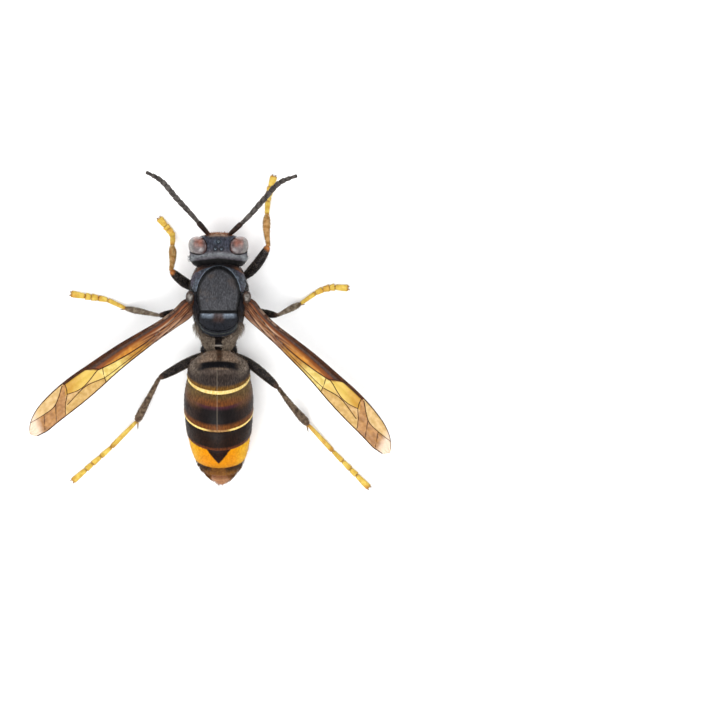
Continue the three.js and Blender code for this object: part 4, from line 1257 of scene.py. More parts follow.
# %% Places of the legs
LEGS = {  # hip, hip's end, knee, ankle, sole, toe, and how far thigh, heel and foot are bowed
    "fore_left": ((-1.2, 2.9, 3.8), (-2.4, 1.3, 2.3), (-5.72, 3.5, 5.1), (-5.6, 6.5, 2.2),
                  (-5.6, 7.9, 0.22), (-7.2, 9.85, 0.22), -0.35, 0.25, 0),
    "fore_right": ((1.2, 2.9, 3.8), (2.8, 2.5, 2.3), (5.97, 6.45, 4.6), (5.78, 10.24, 2.2),
                   (5.95, 12.5, 0.22), (6.6, 14.9, 0.22), 0.35, 0.25, 0),
    "mid_left": ((-1.2, -0.3, 3.5), (-2.7, -1.2, 2.1), (-7.1, -1.87, 4.9), (-11.2, -1.02, 0.8),
                 (-13.4, 0, 0.22), (-17.8, 0.74, 0.22), 0, 0.15, 0),
    "mid_right": ((1.2, -0.3, 3.5), (2.7, -1.2, 2.1), (7.05, -1.87, 4.9), (9.76, -0.48, 0.8),
                  (12.0, 1.05, 0.22), (15.55, 1.42, 0.22), 0, 0.15, -0.3),
    "hind_left": ((-1.1, -3.3, 3.5), (-1.85, -6.5, 2.7), (-7.15, -9.4, 5.0), (-9.88, -14.58, 0.95),
                  (-13.0, -17.75, 0.22), (-17.6, -21.8, 0.22), 0, 0.12, 0),
    "hind_right": ((1.1, -3.3, 3.5), (1.85, -6.5, 2.7), (7.15, -10.55, 5.0), (10.7, -14.95, 0.95),
                   (13.85, -18.35, 0.22), (18.05, -22.6, 0.22), -0.3, 0.12, 0),
}
GIRTHS = {  # half width of hip, thigh and shin, then the spur's length and how far out it stands
    "fore": (0.72, 0.64, 0.42, 0.5, 0.1),
    "mid": (0.72, 0.54, 0.35, 0.7, 0.2),
    "hind": (0.75, 0.6, 0.48, 1.15, -0.55),
}
# Rows of a limb: share of its length, and half its width and depth as shares of its girth.
HIP_ROWS = [(0, 0.9, 0.9), (0.15, 1, 1), (0.5, 0.9, 0.9), (0.66, 0.66, 0.66), (0.72, 0.5, 0.5),
            (0.76, 0.6, 0.6), (0.88, 0.68, 0.66), (1, 0.5, 0.5)]
THIGH_ROWS = [(0, 0.42, 0.4), (0.04, 0.56, 0.54), (0.2, 0.87, 0.82), (0.45, 1.03, 0.95), (0.8, 0.86, 0.78),
              (0.92, 0.68, 0.62), (0.98, 0.5, 0.46), (1.01, 0.3, 0.28)]
SPINDLE_ROWS = [(-0.01, 0.36, 0.36), (0.02, 0.6, 0.56), (0.08, 0.54, 0.5), (0.25, 0.68, 0.63),
                (0.5, 0.94, 0.87), (0.68, 1.06, 0.97), (0.82, 1.0, 0.92), (0.93, 0.76, 0.7),
                (0.98, 0.62, 0.58), (1.0, 0.36, 0.36)]
CLUB_ROWS = [(-0.01, 0.34, 0.34), (0.02, 0.54, 0.5), (0.08, 0.48, 0.45), (0.25, 0.6, 0.56),
             (0.5, 0.77, 0.72), (0.7, 0.9, 0.83), (0.84, 1.02, 0.94), (0.93, 0.93, 0.86),
             (0.98, 0.76, 0.7), (1.0, 0.4, 0.4)]
SPUR_ROWS = [(0, 0.13, 0.13), (0.25, 0.12, 0.12), (0.7, 0.07, 0.07), (0.97, 0.025, 0.025),
             (1, 0.012, 0.012)]
FOOT_JOINTS = {  # each joint's share of the foot's length, then each joint's girth
    "fore": ((0.36, 0.16, 0.13, 0.1, 0.25), (1.0, 1.15, 1.3, 1.36, 1.3)),
    "mid": ((0.36, 0.16, 0.13, 0.1, 0.25), (0.85, 1.1, 1.25, 1.3, 1.25)),
    "hind": ((0.42, 0.16, 0.125, 0.095, 0.2), (0.88, 0.92, 1.0, 1.06, 1.12)),
}
FOOT_RADIUS = 0.34
THIGH_RISE = 0.15
SHIN_RISE = 0.12
SHIN_BOW = -0.4  # share of the thigh's bow that the shin bends back
print(len(LEGS), "legs")

# %% [markdown]
# A foot's joint is a short cup, narrow where it leaves the one before and wide at its end. A claw is a
# hook. Both are made once, at the scene's origin and one millimetre long, and drop away at the end.

# %% A foot's joint and a claw
FLAT = 0.8  # height of a foot's joint, as a share of its width
JOINT_ROWS = [(0, 0.4, 0.34), (0.03, 0.7, 0.58), (0.1, 0.8, 0.66), (0.5, 0.92, 0.74), (0.82, 1.0, FLAT),
              (0.95, 0.98, FLAT), (0.99, 0.86, 0.7), (1.0, 0.5, 0.42)]
CLAW_ROWS = [(0, 0.15, 0.15), (0.12, 0.16, 0.17), (0.4, 0.1, 0.12), (0.75, 0.06, 0.07),
             (0.97, 0.02, 0.025), (1, 0.01, 0.01)]
CLAW_LINE = [(0, 0, 0), (0, 0.12, 0.45), (0, -0.04, 0.85), (0, -0.28, 1.0)]
UNIT_LINE = [(0, 0, 0), (0, 0, 1)]


def flat(x, y, z):
    """A place on a workbench at the scene's origin, where a piece that is copied later is made."""
    return Vector((x, y, z)) * MM


foot_joint = limb("foot_joint", UNIT_LINE, JOINT_ROWS, 14, place=flat, up=(0, 1, 0))
claw = limb("claw", CLAW_LINE, CLAW_ROWS, 10, place=flat, up=(0, 1, 0))


def placed(model, name, start_place, end_place, girth, up=(0, 0, 1)):
    """A copy of a piece one millimetre long, laid between two places."""
    length = (end_place - start_place).length / MM
    stretch = Matrix.Diagonal((girth, girth, length, 1))
    return settle(copy_of(model, name), along_limb(start_place, end_place, up) @ stretch)


print("a joint has", len(foot_joint.data.polygons), "faces")

# %% [markdown]
# The shins are dark with a grey down, and orange-brown on the fore legs, whose knees are orange-brown
# too. The feet are the clear yellow that names the animal, browner at each joint. All of these read the
# mark along the piece.

# %% Finishes of the legs
def limb_plan(dark, light, end_dark, end_light, change=(0.86, 0.97)):
    """Two tones of a thigh or a shin, and two others from where it changes to its end."""
    def plan(finish, place):
        ends = finish.mark().rise(*change)
        return finish.mix(ends, flecked(finish, place, dark, light),
                          flecked(finish, place, end_dark, end_light))
    return plan


def thigh_plan(knee_dark, knee_light):
    return limb_plan("0e0c0c", "272324", knee_dark, knee_light, (0.9, 0.98))


def foot_plan(finish, place):
    mark = finish.mark()
    joint = mark.rise(0.84, 1.0) + mark.rise(0.12, 0.0)
    yellow = finish.mix(finish.noise(place, 0.8, 2).rise(0.5, 0.68) * 0.5,
                        flecked(finish, place, "b8953a", "d8bd5c", 0.6), paint("b4702a"))
    return finish.mix(joint * 0.75, yellow, paint("8a541c"))


def claw_plan(finish, place):
    return finish.mix(finish.mark().rise(0.1, 0.8), paint("b08440"), paint("3a2010"))


thigh_finishes = {
    "fore": shell("fore_thigh", thigh_plan("8a4f22", "b9763a"), pit_depth=0.006),
    "mid": shell("mid_thigh", thigh_plan("2a1c16", "4a352a"), pit_depth=0.006),
    "hind": shell("hind_thigh", thigh_plan("2a1c16", "4a352a"), pit_depth=0.006, Sheen_Weight=0.3,
                  Sheen_Tint=paint("b0a898")),
}
shin_finishes = {
    "fore": shell("fore_shin", limb_plan("946434", "cc9c66", "b07a40", "dcb074"), pit_depth=0.006),
    "mid": shell("mid_shin", limb_plan("4c4036", "8c7f70", "64503a", "927650"), pit_depth=0.006),
    "hind": shell("hind_shin", limb_plan("382a22", "74604f", "4a342a", "6c503e"), pit_depth=0.006),
}
foot_finish = shell("foot_yellow", foot_plan, rough=0.42, pit=0.1, pit_depth=0.004)
claw_finish = shell("claw_brown", claw_plan, rough=0.25, pit_depth=0.002, Coat_Weight=0.4)
spur_finish = shell("spur_brown", claw_plan, rough=0.35, pit_depth=0.002)
print(len(thigh_finishes) + len(shin_finishes) + 3, "finishes for the legs")

# %% [markdown]
# On a living hornet the knees stand higher than the back of the waist, and the feet lie flat. So a leg
# goes down from the hip, up to the knee and down to the ankle, and its foot runs along the floor. Thigh
# and shin are bowed a little, since a straight tube looks like wire.

# %% Legs
CLAW_GIRTH = 0.9
SPURS = ((1.0, 1.0), (-0.4, 0.75))  # how far out and how long each of two spurs is, as shares of the first


def between(start_point, end_point, share, bow=0.0, rise=0.0):
    """A point on the way between two joints, moved sideways by a bow and up by a rise."""
    first, last = Vector(start_point), Vector(end_point)
    way = last - first
    sideways = way.cross(Vector((0, 0, 1))).normalized()
    return tuple(first + way * share + sideways * bow + Vector((0, 0, rise)))


def scaled(rows, girth):
    return [(share, half * girth, deep * girth) for share, half, deep in rows]


def foot(name, kind, ankle, sole, toe, heel, curl):
    path = [ankle, between(ankle, sole, 0.5, 0, heel), sole, between(sole, toe, 0.5, curl), toe]
    line = route(path)[0]
    joints = []
    begin = 0.0
    for share, girth in zip(*FOOT_JOINTS[kind]):
        girth = FOOT_RADIUS * girth
        ends = [line(begin), line(begin + share)]
        for end in ends:
            end[2] = max(end[2], girth * FLAT + 0.015)
        joints.append(placed(foot_joint, "joint", at(*ends[0]), at(*ends[1]), girth))
        begin += share
    finished(join(f"{name}_foot", joints), foot_finish, "yellow_cuticle", f"{name}_tarsus")
    forward = (Vector(toe) - Vector(sole)).normalized()
    sideways = forward.cross(Vector((0, 0, 1)))
    claws = []
    for side in (-1, 1):
        root = Vector(toe) + sideways * side * 0.12 - forward * 0.2 + Vector((0, 0, 0.1))
        tip = Vector(toe) + sideways * side * 0.26 + forward * 0.26 + Vector((0, 0, 0.02))
        claws.append(placed(claw, "claw", at(*root), at(*tip), CLAW_GIRTH))
    finished(join(f"{name}_claws", claws), claw_finish, "yellow_cuticle")


for name, (hip, hip_end, knee, ankle, sole, toe, bow, heel, curl) in LEGS.items():
    kind = name.split("_")[0]
    hip_girth, thigh_girth, shin_girth, spur_length, spur_out = GIRTHS[kind]
    side = math.copysign(1, knee[0])
    hip_piece = limb(f"{name}_hip", [hip, hip_end], scaled(HIP_ROWS, hip_girth), 18)
    finished(hip_piece, black_shell, "black_cuticle", f"{name}_coxa")
    thigh_line = [hip_end, between(hip_end, knee, 0.5, bow, THIGH_RISE), knee]
    thigh = limb(f"{name}_thigh", thigh_line, scaled(THIGH_ROWS, thigh_girth), 18)
    finished(thigh, thigh_finishes[kind], "black_cuticle", f"{name}_femur")
    shin_line = [knee, between(knee, ankle, 0.5, bow * SHIN_BOW, SHIN_RISE), ankle]
    shin_rows = CLUB_ROWS if kind == "hind" else SPINDLE_ROWS
    shin = limb(f"{name}_shin", shin_line, scaled(shin_rows, shin_girth), 18)
    finished(shin, shin_finishes[kind], "tibia", f"{name}_tibia")
    length = (Vector(knee) - Vector(ankle)).length
    spurs = []
    for out, long in SPURS:
        x, y, z = between(knee, ankle, 1 + spur_length * long / length)
        tip = (x + side * spur_out * out, y - 0.25 * out, max(z, 0.1))
        spurs.append(limb("spur", [between(knee, ankle, 0.95), tip], SPUR_ROWS, 8))
    finished(join(f"{name}_spurs", spurs), spur_finish, "tibia")
    foot(name, kind, ankle, sole, toe, heel, curl)
drop(foot_joint, claw)
print("the legs brought it to", len(made), "pieces")

# %% [markdown]
# ## Feelers
# A feeler is a long stem, then a whip of eleven short joints that bends at the elbow. The first joint of
# the whip is tiny, and each of the others is a little shorter than the one before. One joint is modelled,
# with a waist at its root, and laid along a smooth line eleven times.

# %% Feelers
FEELERS = {  # root, elbow, and the line of the whip
    "left": ((-0.9, 7.5, 6.5), (-2.47, 9.34, 7.6),
             [(-2.77, 9.7, 7.8), (-5.1, 12.25, 8.2), (-7.0, 14.4, 7.7), (-8.67, 15.3, 6.9)]),
    "right": ((0.95, 7.5, 6.5), (2.77, 9.16, 7.6),
              [(3.2, 9.55, 7.8), (5.42, 12.0, 8.2), (7.4, 14.1, 7.7), (9.4, 14.88, 6.9)]),
}
STEM_ROWS = [(0, 0.12, 0.12), (0.02, 0.26, 0.26), (0.05, 0.27, 0.27), (0.09, 0.16, 0.16),
             (0.14, 0.23, 0.23), (0.3, 0.29, 0.29), (0.8, 0.35, 0.35), (0.96, 0.34, 0.34),
             (1.0, 0.23, 0.23)]
WHIP_SHARES = [0.05, 0.14, 0.1, 0.095, 0.09, 0.09, 0.088, 0.085, 0.085, 0.08, 0.097]
WHIP_ROWS = [(-0.03, 0.5, 0.5), (0.0, 0.76, 0.76), (0.1, 0.86, 0.86), (0.5, 0.95, 0.95), (0.88, 1, 1),
             (0.97, 0.95, 0.95), (1, 0.75, 0.75)]
WHIP_GIRTHS = [0.28, 0.32, 0.355, 0.375, 0.385, 0.385, 0.38, 0.365, 0.34, 0.3, 0.24]  # half widths
OVERLAP = 0.01  # share of a joint's length that runs into the one before


def stem_plan(finish, place):
    z = finish.axes(place)[2]
    return finish.mix(z.rise(7.2, 6.6), flecked(finish, place, "17100e", "33241d"), paint("7a4421"))


def whip_plan(finish, place):
    waist = finish.mark().rise(0.12, 0.0)
    return finish.mix(waist, flecked(finish, place, "242120", "58524e"), paint("0e0b0a"))


stem_finish = shell("stem_brown", stem_plan, pit_depth=0.005)
whip_finish = shell("whip_brown", whip_plan, rough=0.5, pit=0.07, pit_depth=0.006, Sheen_Weight=0.4,
                    Sheen_Tint=paint("b0a090"))
whip_joint = limb("whip_joint", UNIT_LINE, WHIP_ROWS, 16, place=flat, up=(0, 1, 0))
for name, (root, elbow, whip_line) in FEELERS.items():
    stem = limb(f"stem_{name}", [root, between(root, elbow, 0.5, 0, 0.1), elbow], STEM_ROWS, 18)
    finished(stem, stem_finish, "feeler", f"scape_{name}")
    line, length = route([elbow, *whip_line])
    start_share = -OVERLAP
    joints = []
    for share, girth in zip(WHIP_SHARES, WHIP_GIRTHS):
        end_share = start_share + share * (1 + OVERLAP)
        joints.append(placed(whip_joint, "joint", at(*line(start_share)), at(*line(end_share)), girth))
        start_share = end_share
    finished(join(f"whip_{name}", joints), whip_finish, "feeler", f"flagellum_{name}")
drop(whip_joint)
print("each whip has", len(WHIP_SHARES), "joints and is", round(length, 1), "mm long")

# %% [markdown]
# ## Face
# The face looks forward and down, so the picture shows only its upper edge, but the model is seen from
# all sides. A shield covers the mouth, its lower edge cut by a bay. The jaws cross below it: thick at the
# root, with a bent inner edge that carries black teeth.

# %% Face shield and jaws
SHIELD_ROWS = [  # height, half width, front
    (2.9, 0.55, 7.75),
    (3.0, 0.85, 7.85),
    (3.5, 1.2, 8.02),
    (4.3, 1.5, 8.13),
    (5.2, 1.38, 8.1),
    (5.9, 0.95, 8.0),
    (6.2, 0.55, 7.87),
]
SHIELD_BED = 7.1  # how far ahead the shield's hidden back lies
JAW_LINE = [(1.75, 6.7, 3.5), (1.65, 7.2, 2.75), (1.05, 7.65, 2.15), (0.38, 7.85, 1.85)]
JAW_ROWS = [(0, 0.42, 0.55), (0.06, 0.46, 0.62), (0.3, 0.4, 0.62), (0.65, 0.33, 0.55), (0.88, 0.24, 0.42),
            (0.97, 0.17, 0.3), (1, 0.1, 0.18)]
TEETH = ((0.62, 0.22), (0.78, 0.2), (0.92, 0.16))  # how far along the jaw each is, and how far it reaches


def orange_plan(finish, place):
    z = finish.axes(place)[2]
    return finish.mix(z.rise(3.9, 5.0) * 0.8, flecked(finish, place, "b45a1c", "dd8a30", 0.4),
                      flecked(finish, place, "8a6246", "b88c68", 0.3))


def jaw_plan(finish, place):
    toothed = finish.mark().rise(0.45, 0.85)
    return finish.mix(toothed, flecked(finish, place, "9a4718", "c8752c", 0.4), paint("150b08"))


face_finish = shell("face_orange", orange_plan, rough=0.35, pit=0.15, pit_depth=0.014)
jaw_finish = shell("jaw_orange", jaw_plan, rough=0.28, pit=0.18, pit_depth=0.012, Coat_Weight=0.3)
shield_stations = stations_of([(*row, SHIELD_BED) for row in SHIELD_ROWS])
shield = loft("face_shield", shield_stations, 28, squared(0.8, 0.7), smooth=2, matrix=UPRIGHT)
nudge(shield, (0, 7.8, 2.9), (0, 0, 0.35), 0.6)
finished(shield, face_finish, "orange_cuticle", "clypeus")

for name, side in SIDES.items():
    line = [(side * x, y, z) for x, y, z in JAW_LINE]
    jaw = limb(f"jaw_{name}", line, JAW_ROWS, 18, smooth=2, up=(0, 1, 0.4))
    for share, reach in TEETH:
        x, y, z = route(line)[0](share)
        nudge(jaw, (x - side * 0.3, y - 0.1, z - 0.35), (-side * 0.16, 0, -0.14), reach)
    finished(jaw, jaw_finish, "orange_cuticle", f"mandible_{name}")
print("jaws are", round(route(JAW_LINE)[1], 1), "mm long")

# %% [markdown]
# ## Wings
# At rest a hornet folds its fore wing lengthwise, so that it is narrow and twice as dark. A wing is
# modelled flat, with its span along X and its chord along Y. A grid is added, and each of its columns is
# resized and moved until its ends meet the wing's two edges. Rows of the grid then rise and sink, which
# gives the skin its shallow folds, and Solidify gives it the thickness of a hair.

# %% Outline of the fore wing
FORE_HIND = [(-1.15, -0.3), (0, -0.65), (2, -0.95), (6, -0.9), (11, -0.78), (15.7, -0.95), (20.5, -0.8),
             (23.3, -0.62), (24.0, -0.3), (24.3, 0.2)]
FORE_FRONT = [(-1.15, 0.4), (-0.3, 0.68), (1.6, 0.55), (3.65, 0.68), (6.35, 1.15), (9.12, 1.63),
              (13.4, 2.12), (16.3, 2.4), (19.5, 2.38), (21.7, 2.06), (23.1, 1.5), (23.9, 0.9), (24.3, 0.4)]
MIDDLE_VEIN = [(-1.15, 0.1), (1.6, -0.12), (6, -0.3), (8.9, 0), (11, 0.4), (12.4, 0.74),
               (13.1, 0.92), (14.2, 0.72), (15.6, 0.5), (16.4, 0.55), (17.8, 1.05), (24.3, 1.05)]
LOWER_VEIN = [(-1.15, -0.15), (1.6, -0.5), (6, -0.58), (11.2, -0.42), (13.1, -0.3), (14.2, 0.06),
              (15.5, 0.38), (16.6, 0.32), (18.6, 0.08), (24.3, 0.08)]
OUTER_VEIN = [(17, 2.42), (17.7, 2.17), (18.7, 1.52), (19.65, 1.0), (21.5, 0.97), (23.3, 1.24), (24.3, 1.3)]
CAMBER = 0.15
FOLDS = [0, -0.03, -0.05, 0.02, 0.05, 0, -0.05, 0.01, 0.06, 0.02, -0.04, 0, 0.05, 0.02, 0]  # hind to front
SKIN = 0.04  # thickness


def wing_skin(name, hind_rows, front_rows, columns, rows, folds, camber):
    """A flat grid drawn into a wing's outline, its columns closer towards the tip."""
    hind, front = profile(hind_rows), profile(front_rows)
    root, tip = hind_rows[0][0], hind_rows[-1][0]
    skin = start(bpy.ops.mesh.primitive_grid_add, name, x_subdivisions=columns, y_subdivisions=rows, size=MM)
    places = np.array([point.co[:2] for point in skin.data.vertices]) / MM + 0.5
    column_of = np.rint(places[:, 0] * columns).astype(int)
    row_of = np.rint(places[:, 1] * rows).astype(int)
    with edit(skin):
        for row in range(rows + 1):
            across = 2 * row / rows - 1
            height = camber * (1 - across**2) + float(np.interp(row / rows, np.linspace(0, 1, len(folds)), folds))
            pick(lambda _, index: row_of[index] == row)
            bpy.ops.transform.translate(value=(0, 0, height * MM))
        for column in range(columns + 1):
            share = column / columns
            span = root + (tip - root) * (1 - (1 - share) ** 1.3)
            low, high = float(hind(span)[0]), float(front(span)[0])
            pick(lambda _, index: column_of[index] == column)
            bpy.ops.transform.resize(value=(1, max(high - low, 0.02), 1), center_override=(0, 0, 0))
            bpy.ops.transform.translate(value=((span + 0.5 - share) * MM, (low + high) / 2 * MM, 0))
    return skin


def keep_marks(skin, **lines):
    """Keeps each point's span and its chord over some lines, for the finish to read."""
    spans = np.array([point.co[:2] for point in skin.data.vertices]) / MM
    marks = {"span": spans[:, 0]}
    for key, rows in lines.items():
        line = profile(rows)
        marks[key] = [chord - float(line(span)[0]) for span, chord in spans]
    for key, values in marks.items():
        skin.data.attributes.new(key, "FLOAT", "POINT").data.foreach_set("value", list(values))


fore_skin = wing_skin("fore_skin", FORE_HIND, FORE_FRONT, 84, 28, FOLDS, CAMBER)
keep_marks(fore_skin, over_hind=FORE_HIND, over_lower=LOWER_VEIN, over_middle=MIDDLE_VEIN, over_outer=OUTER_VEIN,
           over_front=FORE_FRONT)
modify(fore_skin, "SOLIDIFY", thickness=SKIN * MM, offset=0.0)
print("the fore wing's skin has", len(fore_skin.data.polygons), "faces")

# %% [markdown]
# Veins are hollow struts. Each is a thin tube along its line, flattened a little, that lies half in the
# skin. The front edge carries the thickest, and most others run along the wing or cross from one long
# vein to the next.

# %% Veins of the fore wing
fore_hind, fore_front = profile(FORE_HIND), profile(FORE_FRONT)


def on_fore_skin(span, chord):
    """The skin's height there."""
    low, high = float(fore_hind(span)[0]), float(fore_front(span)[0])
    share = min(max((chord - low) / max(high - low, 0.02), 0), 1)
    fold = float(np.interp(share, np.linspace(0, 1, len(FOLDS)), FOLDS))
    return CAMBER * (1 - (2 * share - 1) ** 2) + fold


def on_line(rows, first, last, steps, shift=0.0):
    """Points of a line between two spans."""
    line = profile(rows)
    return [(span, float(line(span)[0]) + shift) for span in np.linspace(first, last, steps)]


def vein(points, thick, thin, height=on_fore_skin):
    sparse = np.array(points)
    dense = np.linspace(0, len(points) - 1, 1 + 4 * (len(points) - 1))
    spans, chords = [np.interp(dense, range(len(points)), sparse[:, axis]) for axis in (0, 1)]
    path = [(span, chord, height(span, chord)) for span, chord in zip(spans, chords)]
    steps = len(path)
    rows = [(share, thick + (thin - thick) * share, 0.8 * (thick + (thin - thick) * share))
            for share in np.linspace(0, 1, steps)]
    rows = [(-0.002, rows[0][1] * 0.4, rows[0][2] * 0.4), *rows, (1.002, rows[-1][1] * 0.4, rows[-1][2] * 0.4)]
    return limb("vein", path, rows, 8, smooth=1, place=flat)


FORE_VEINS = [
    (on_line(FORE_FRONT, -1.1, 13.6, 14, -0.08), 0.2, 0.15),
    (on_line(FORE_FRONT, 13.4, 17.4, 6, -0.12), 0.19, 0.19),
    (on_line(FORE_FRONT, 17.2, 24.1, 12, -0.04), 0.1, 0.05),
    (on_line(FORE_HIND, -0.9, 23.8, 20, 0.03), 0.09, 0.08),
    (on_line(MIDDLE_VEIN, -0.9, 13.1, 14), 0.1, 0.08),
    (on_line(MIDDLE_VEIN, 13.1, 17.8, 9), 0.07, 0.06),
    (on_line(OUTER_VEIN, 17.6, 23.4, 12), 0.08, 0.05),
    (on_line(LOWER_VEIN, 2.0, 13.1, 10), 0.05, 0.06),
    (on_line(LOWER_VEIN, 13.1, 18.6, 9), 0.07, 0.06),
    ([(12.9, 0.88), (13.55, 1.5), (14.4, 2.0)], 0.08, 0.08),
    ([(12.5, 0.76), (12.9, 0.1), (13.3, -0.8)], 0.06, 0.06),
    ([(17.2, 2.2), (17.5, 1.5), (17.8, 1.05), (18.6, 0.4), (19.35, -0.4), (19.5, -0.7)], 0.07, 0.06),
    ([(19.65, 1.0), (20.2, 0.3), (20.95, -0.65)], 0.06, 0.05),
    ([(21.5, 0.97), (22.0, 0.3), (22.65, -0.55)], 0.06, 0.05),
]
fore_veins = join("fore_veins", [vein(*line) for line in FORE_VEINS])
print(len(FORE_VEINS), "veins in a fore wing")

# %% Hind wing
HIND_HIND = [(-1.3, -0.9), (0.4, -1.4), (2.2, -1.25), (5, -1.0), (10, -0.7), (14, -0.35), (15, 0.1)]
HIND_FRONT = [(-1.3, -0.35), (0.5, 0.2), (4, 0.5), (8, 0.85), (12, 0.95), (14.3, 0.75), (15, 0.2)]
HIND_DEPTH = 0.78
HIND_FOLDS = [0, -0.04, 0.03, -0.03, 0.02, 0]


def level(span, chord):
    return 0.0


hind_skin = wing_skin("hind_skin", HIND_HIND, HIND_FRONT, 48, 12, HIND_FOLDS, 0.0)
keep_marks(hind_skin, over_hind=HIND_HIND, over_lower=HIND_HIND, over_middle=HIND_HIND, over_outer=HIND_HIND,
           over_front=HIND_FRONT)
modify(hind_skin, "SOLIDIFY", thickness=SKIN * MM, offset=0.0)
HIND_VEINS = [
    (on_line(HIND_FRONT, -1.2, 14.6, 14, -0.03), 0.11, 0.05),
    (on_line(HIND_HIND, -1.2, 14.6, 14, 0.02), 0.05, 0.04),
    ([(-1.2, -0.6), (3, -0.25), (7, 0.05), (11, 0.3), (13.6, 0.4)], 0.07, 0.04),
    ([(-1.2, -0.8), (3, -0.75), (7, -0.55), (10.5, -0.45)], 0.06, 0.04),
]
hind_veins = join("hind_veins", [vein(points, thick, thin, level) for points, thick, thin in HIND_VEINS])
print(len(HIND_VEINS), "veins in a hind wing")

# %% [markdown]
# The skin is clear amber over a white floor, so most of its colour is a matter of how much light it
# stops: most along the front edge, where it is smoky purple, least at the tip. Each cell between the
# veins has a tone of its own. The masks come from the marks: the span, and how far a point lies over a vein.

# %% Finish of the wings
def wing_finish(name):
    finish = Finish(name, Roughness=0.35, Specular_IOR_Level=0.15)
    place = finish.place()
    span, over_hind, over_lower, over_middle, over_outer, over_front = [
        finish.mark(key) for key in ("span", "over_hind", "over_lower", "over_middle", "over_outer", "over_front")
    ]
    fine = finish.noise(place, 0.4, 3) - 0.5
    far = (span + fine * 0.5).rise(12.9, 13.4)
    above = over_middle.rise(-0.06, 0.06)
    ends = (span - over_front * 1.2 + fine * 0.3).rise(14.8, 14.2)
    far = far + (1 - ends - far) * above
    outer = (span + over_front * 0.85 + fine * 0.4).rise(16.75, 17.1)
    tip = (span + over_middle * 0.4 + fine * 0.5).rise(21.9, 23.0)
    lengthways = finish.node("ShaderNodeCombineXYZ", values={0: span * 0.04, 1: over_front, 2: 0.0})
    rust = finish.mix(finish.noise(lengthways, 0.16, 2).rise(0.35, 0.7), paint("5a301c"), paint("9a6a44"))
    pale_edge = over_hind.rise(0.45, 0.15) * span.rise(1.0, 2.0) * span.rise(6.0, 4.5)
    rust = finish.mix(pale_edge * 0.6, rust, paint("c09878"))
    rust = finish.mix(span.rise(0.5, -0.4) * 0.8, rust, paint("20110b"))
    orange = finish.mix(span.rise(5.0, 9.5), rust, flecked(finish, place, "a4661a", "cc8a2e", 0.5))
    orange = finish.mix((span + over_middle * 0.6).rise(11.6, 13.4), orange, paint("863a10"))
    pale = finish.mix(span.rise(5.5, 7.5), rust, flecked(finish, place, "946424", "b88638", 0.5))
    pale = finish.mix(span.rise(8.6, 10.8), pale, flecked(finish, place, "c2a654", "e2cc7e", 0.5))
    # A pale line near the root, just behind the dark front band, is a painted highlight along a furrow of the skin.
    furrow_glint = furrow(over_front + span * 0.05, -0.62, 0.12) * span.rise(0.5, 1.5) * span.rise(5.5, 4.0)
    near = finish.mix(furrow_glint * 0.7, finish.mix(above, pale, orange), paint("c8a98c"))
    gold = finish.mix((span + over_front + fine * 2).rise(13.6, 16.4), paint("ccac50"), paint("b88a32"))
    tan = finish.mix(over_lower.rise(-0.1, 0.1), flecked(finish, place, "b08a48", "cca868"),
                     finish.mix(span.rise(14.0, 15.5), paint("cfb060"),
                                flecked(finish, place, "b08850", "cca870")))
    beyond = finish.mix(above, tan, gold)
    rosy = finish.mix(over_outer.rise(-0.06, 0.06), flecked(finish, place, "90602e", "b88446", 0.5),
                      flecked(finish, place, "be9a5c", "dab880"))
    colour = finish.mix(far, near, beyond)
    colour = finish.mix(outer, colour, rosy)
    colour = finish.mix(tip, colour, paint("dcc0a0"))
    width = span.rise(1.0, 12.0) * 0.38 + 0.42
    fringe = (over_front + width + span.rise(6.0, 12.5) * 0.25 + 0.2).rise(-0.2, 0.2) * ends
    colour = finish.mix(fringe * 0.85, colour, paint("743a1a"))
    smoke = (over_front + width).rise(-0.15, 0.15) * ends
    smoke = smoke.maths("MAXIMUM", smoke, (over_front + 0.36).rise(-0.08, 0.08) * span.rise(17.6, 16.8))
    colour = finish.mix(smoke * 0.96, colour, flecked(finish, place, "200f08", "42230f", 0.3))
    streaks = finish.noise(place, 0.25, 3) * 0.14
    alpha = 0.95 - outer * 0.08 - tip * 0.2 + smoke * 0.05 - streaks * (1 - smoke)
    ripple = finish.noise(place, 0.3, 3)
    return finish.done(Base_Color=colour, Alpha=alpha, Normal=finish.bump(ripple, 0.02))


wing_material = wing_finish("wing_amber")


def vein_plan(finish, place):
    """Dark brown, with a painted highlight that makes the veins paler near the wing's root."""
    wear_and_highlight = finish.axes(place)[0].size().band(4.8, 8.0, 1.0) * finish.noise(place, 0.5, 2).rise(0.4, 0.6)
    return finish.mix(wear_and_highlight * 0.6, flecked(finish, place, "2a150c", "4d2a16", 0.6), paint("85705f"))


vein_material = shell("vein_brown", vein_plan, rough=0.45, pit_depth=0.002)

PIVOT = (3.85, -0.72, 7.55)
SWEEP = {"left": 40.0, "right": 47.2}  # degrees behind straight out
DROP = 2.3  # degrees that a wing's tip hangs down


def hinge(name, depth=0.0):
    """Lays a flat wing's span, chord and height on its side of the animal."""
    side = -1 if name == "left" else 1
    x, y, z = PIVOT
    turned = Matrix.Rotation(-math.radians(SWEEP[name]), 4, "Z") @ Matrix.Rotation(math.radians(DROP), 4, "Y")
    return Matrix.Translation(at(side * x, y, z - depth)) @ Matrix.Diagonal((side, 1, 1, 1)) @ turned


for name in SWEEP:
    for model, wing, part, depth, material in (
        (fore_skin, "forewing", "skin", 0.0, wing_material),
        (fore_veins, "forewing", "veins", 0.0, vein_material),
        (hind_skin, "hindwing", "skin", HIND_DEPTH, wing_material),
        (hind_veins, "hindwing", "veins", HIND_DEPTH, vein_material),
    ):
        twin = settle(copy_of(model, f"{wing}_{name}_{part}"), hinge(name, depth))
        nodes = [f"{wing}_{name}"] if part == "skin" else []
        finished(outwards(twin), material, "wing_skin", *nodes)
drop(fore_skin, fore_veins, hind_skin, hind_veins)
print("the wings brought it to", len(made), "pieces")

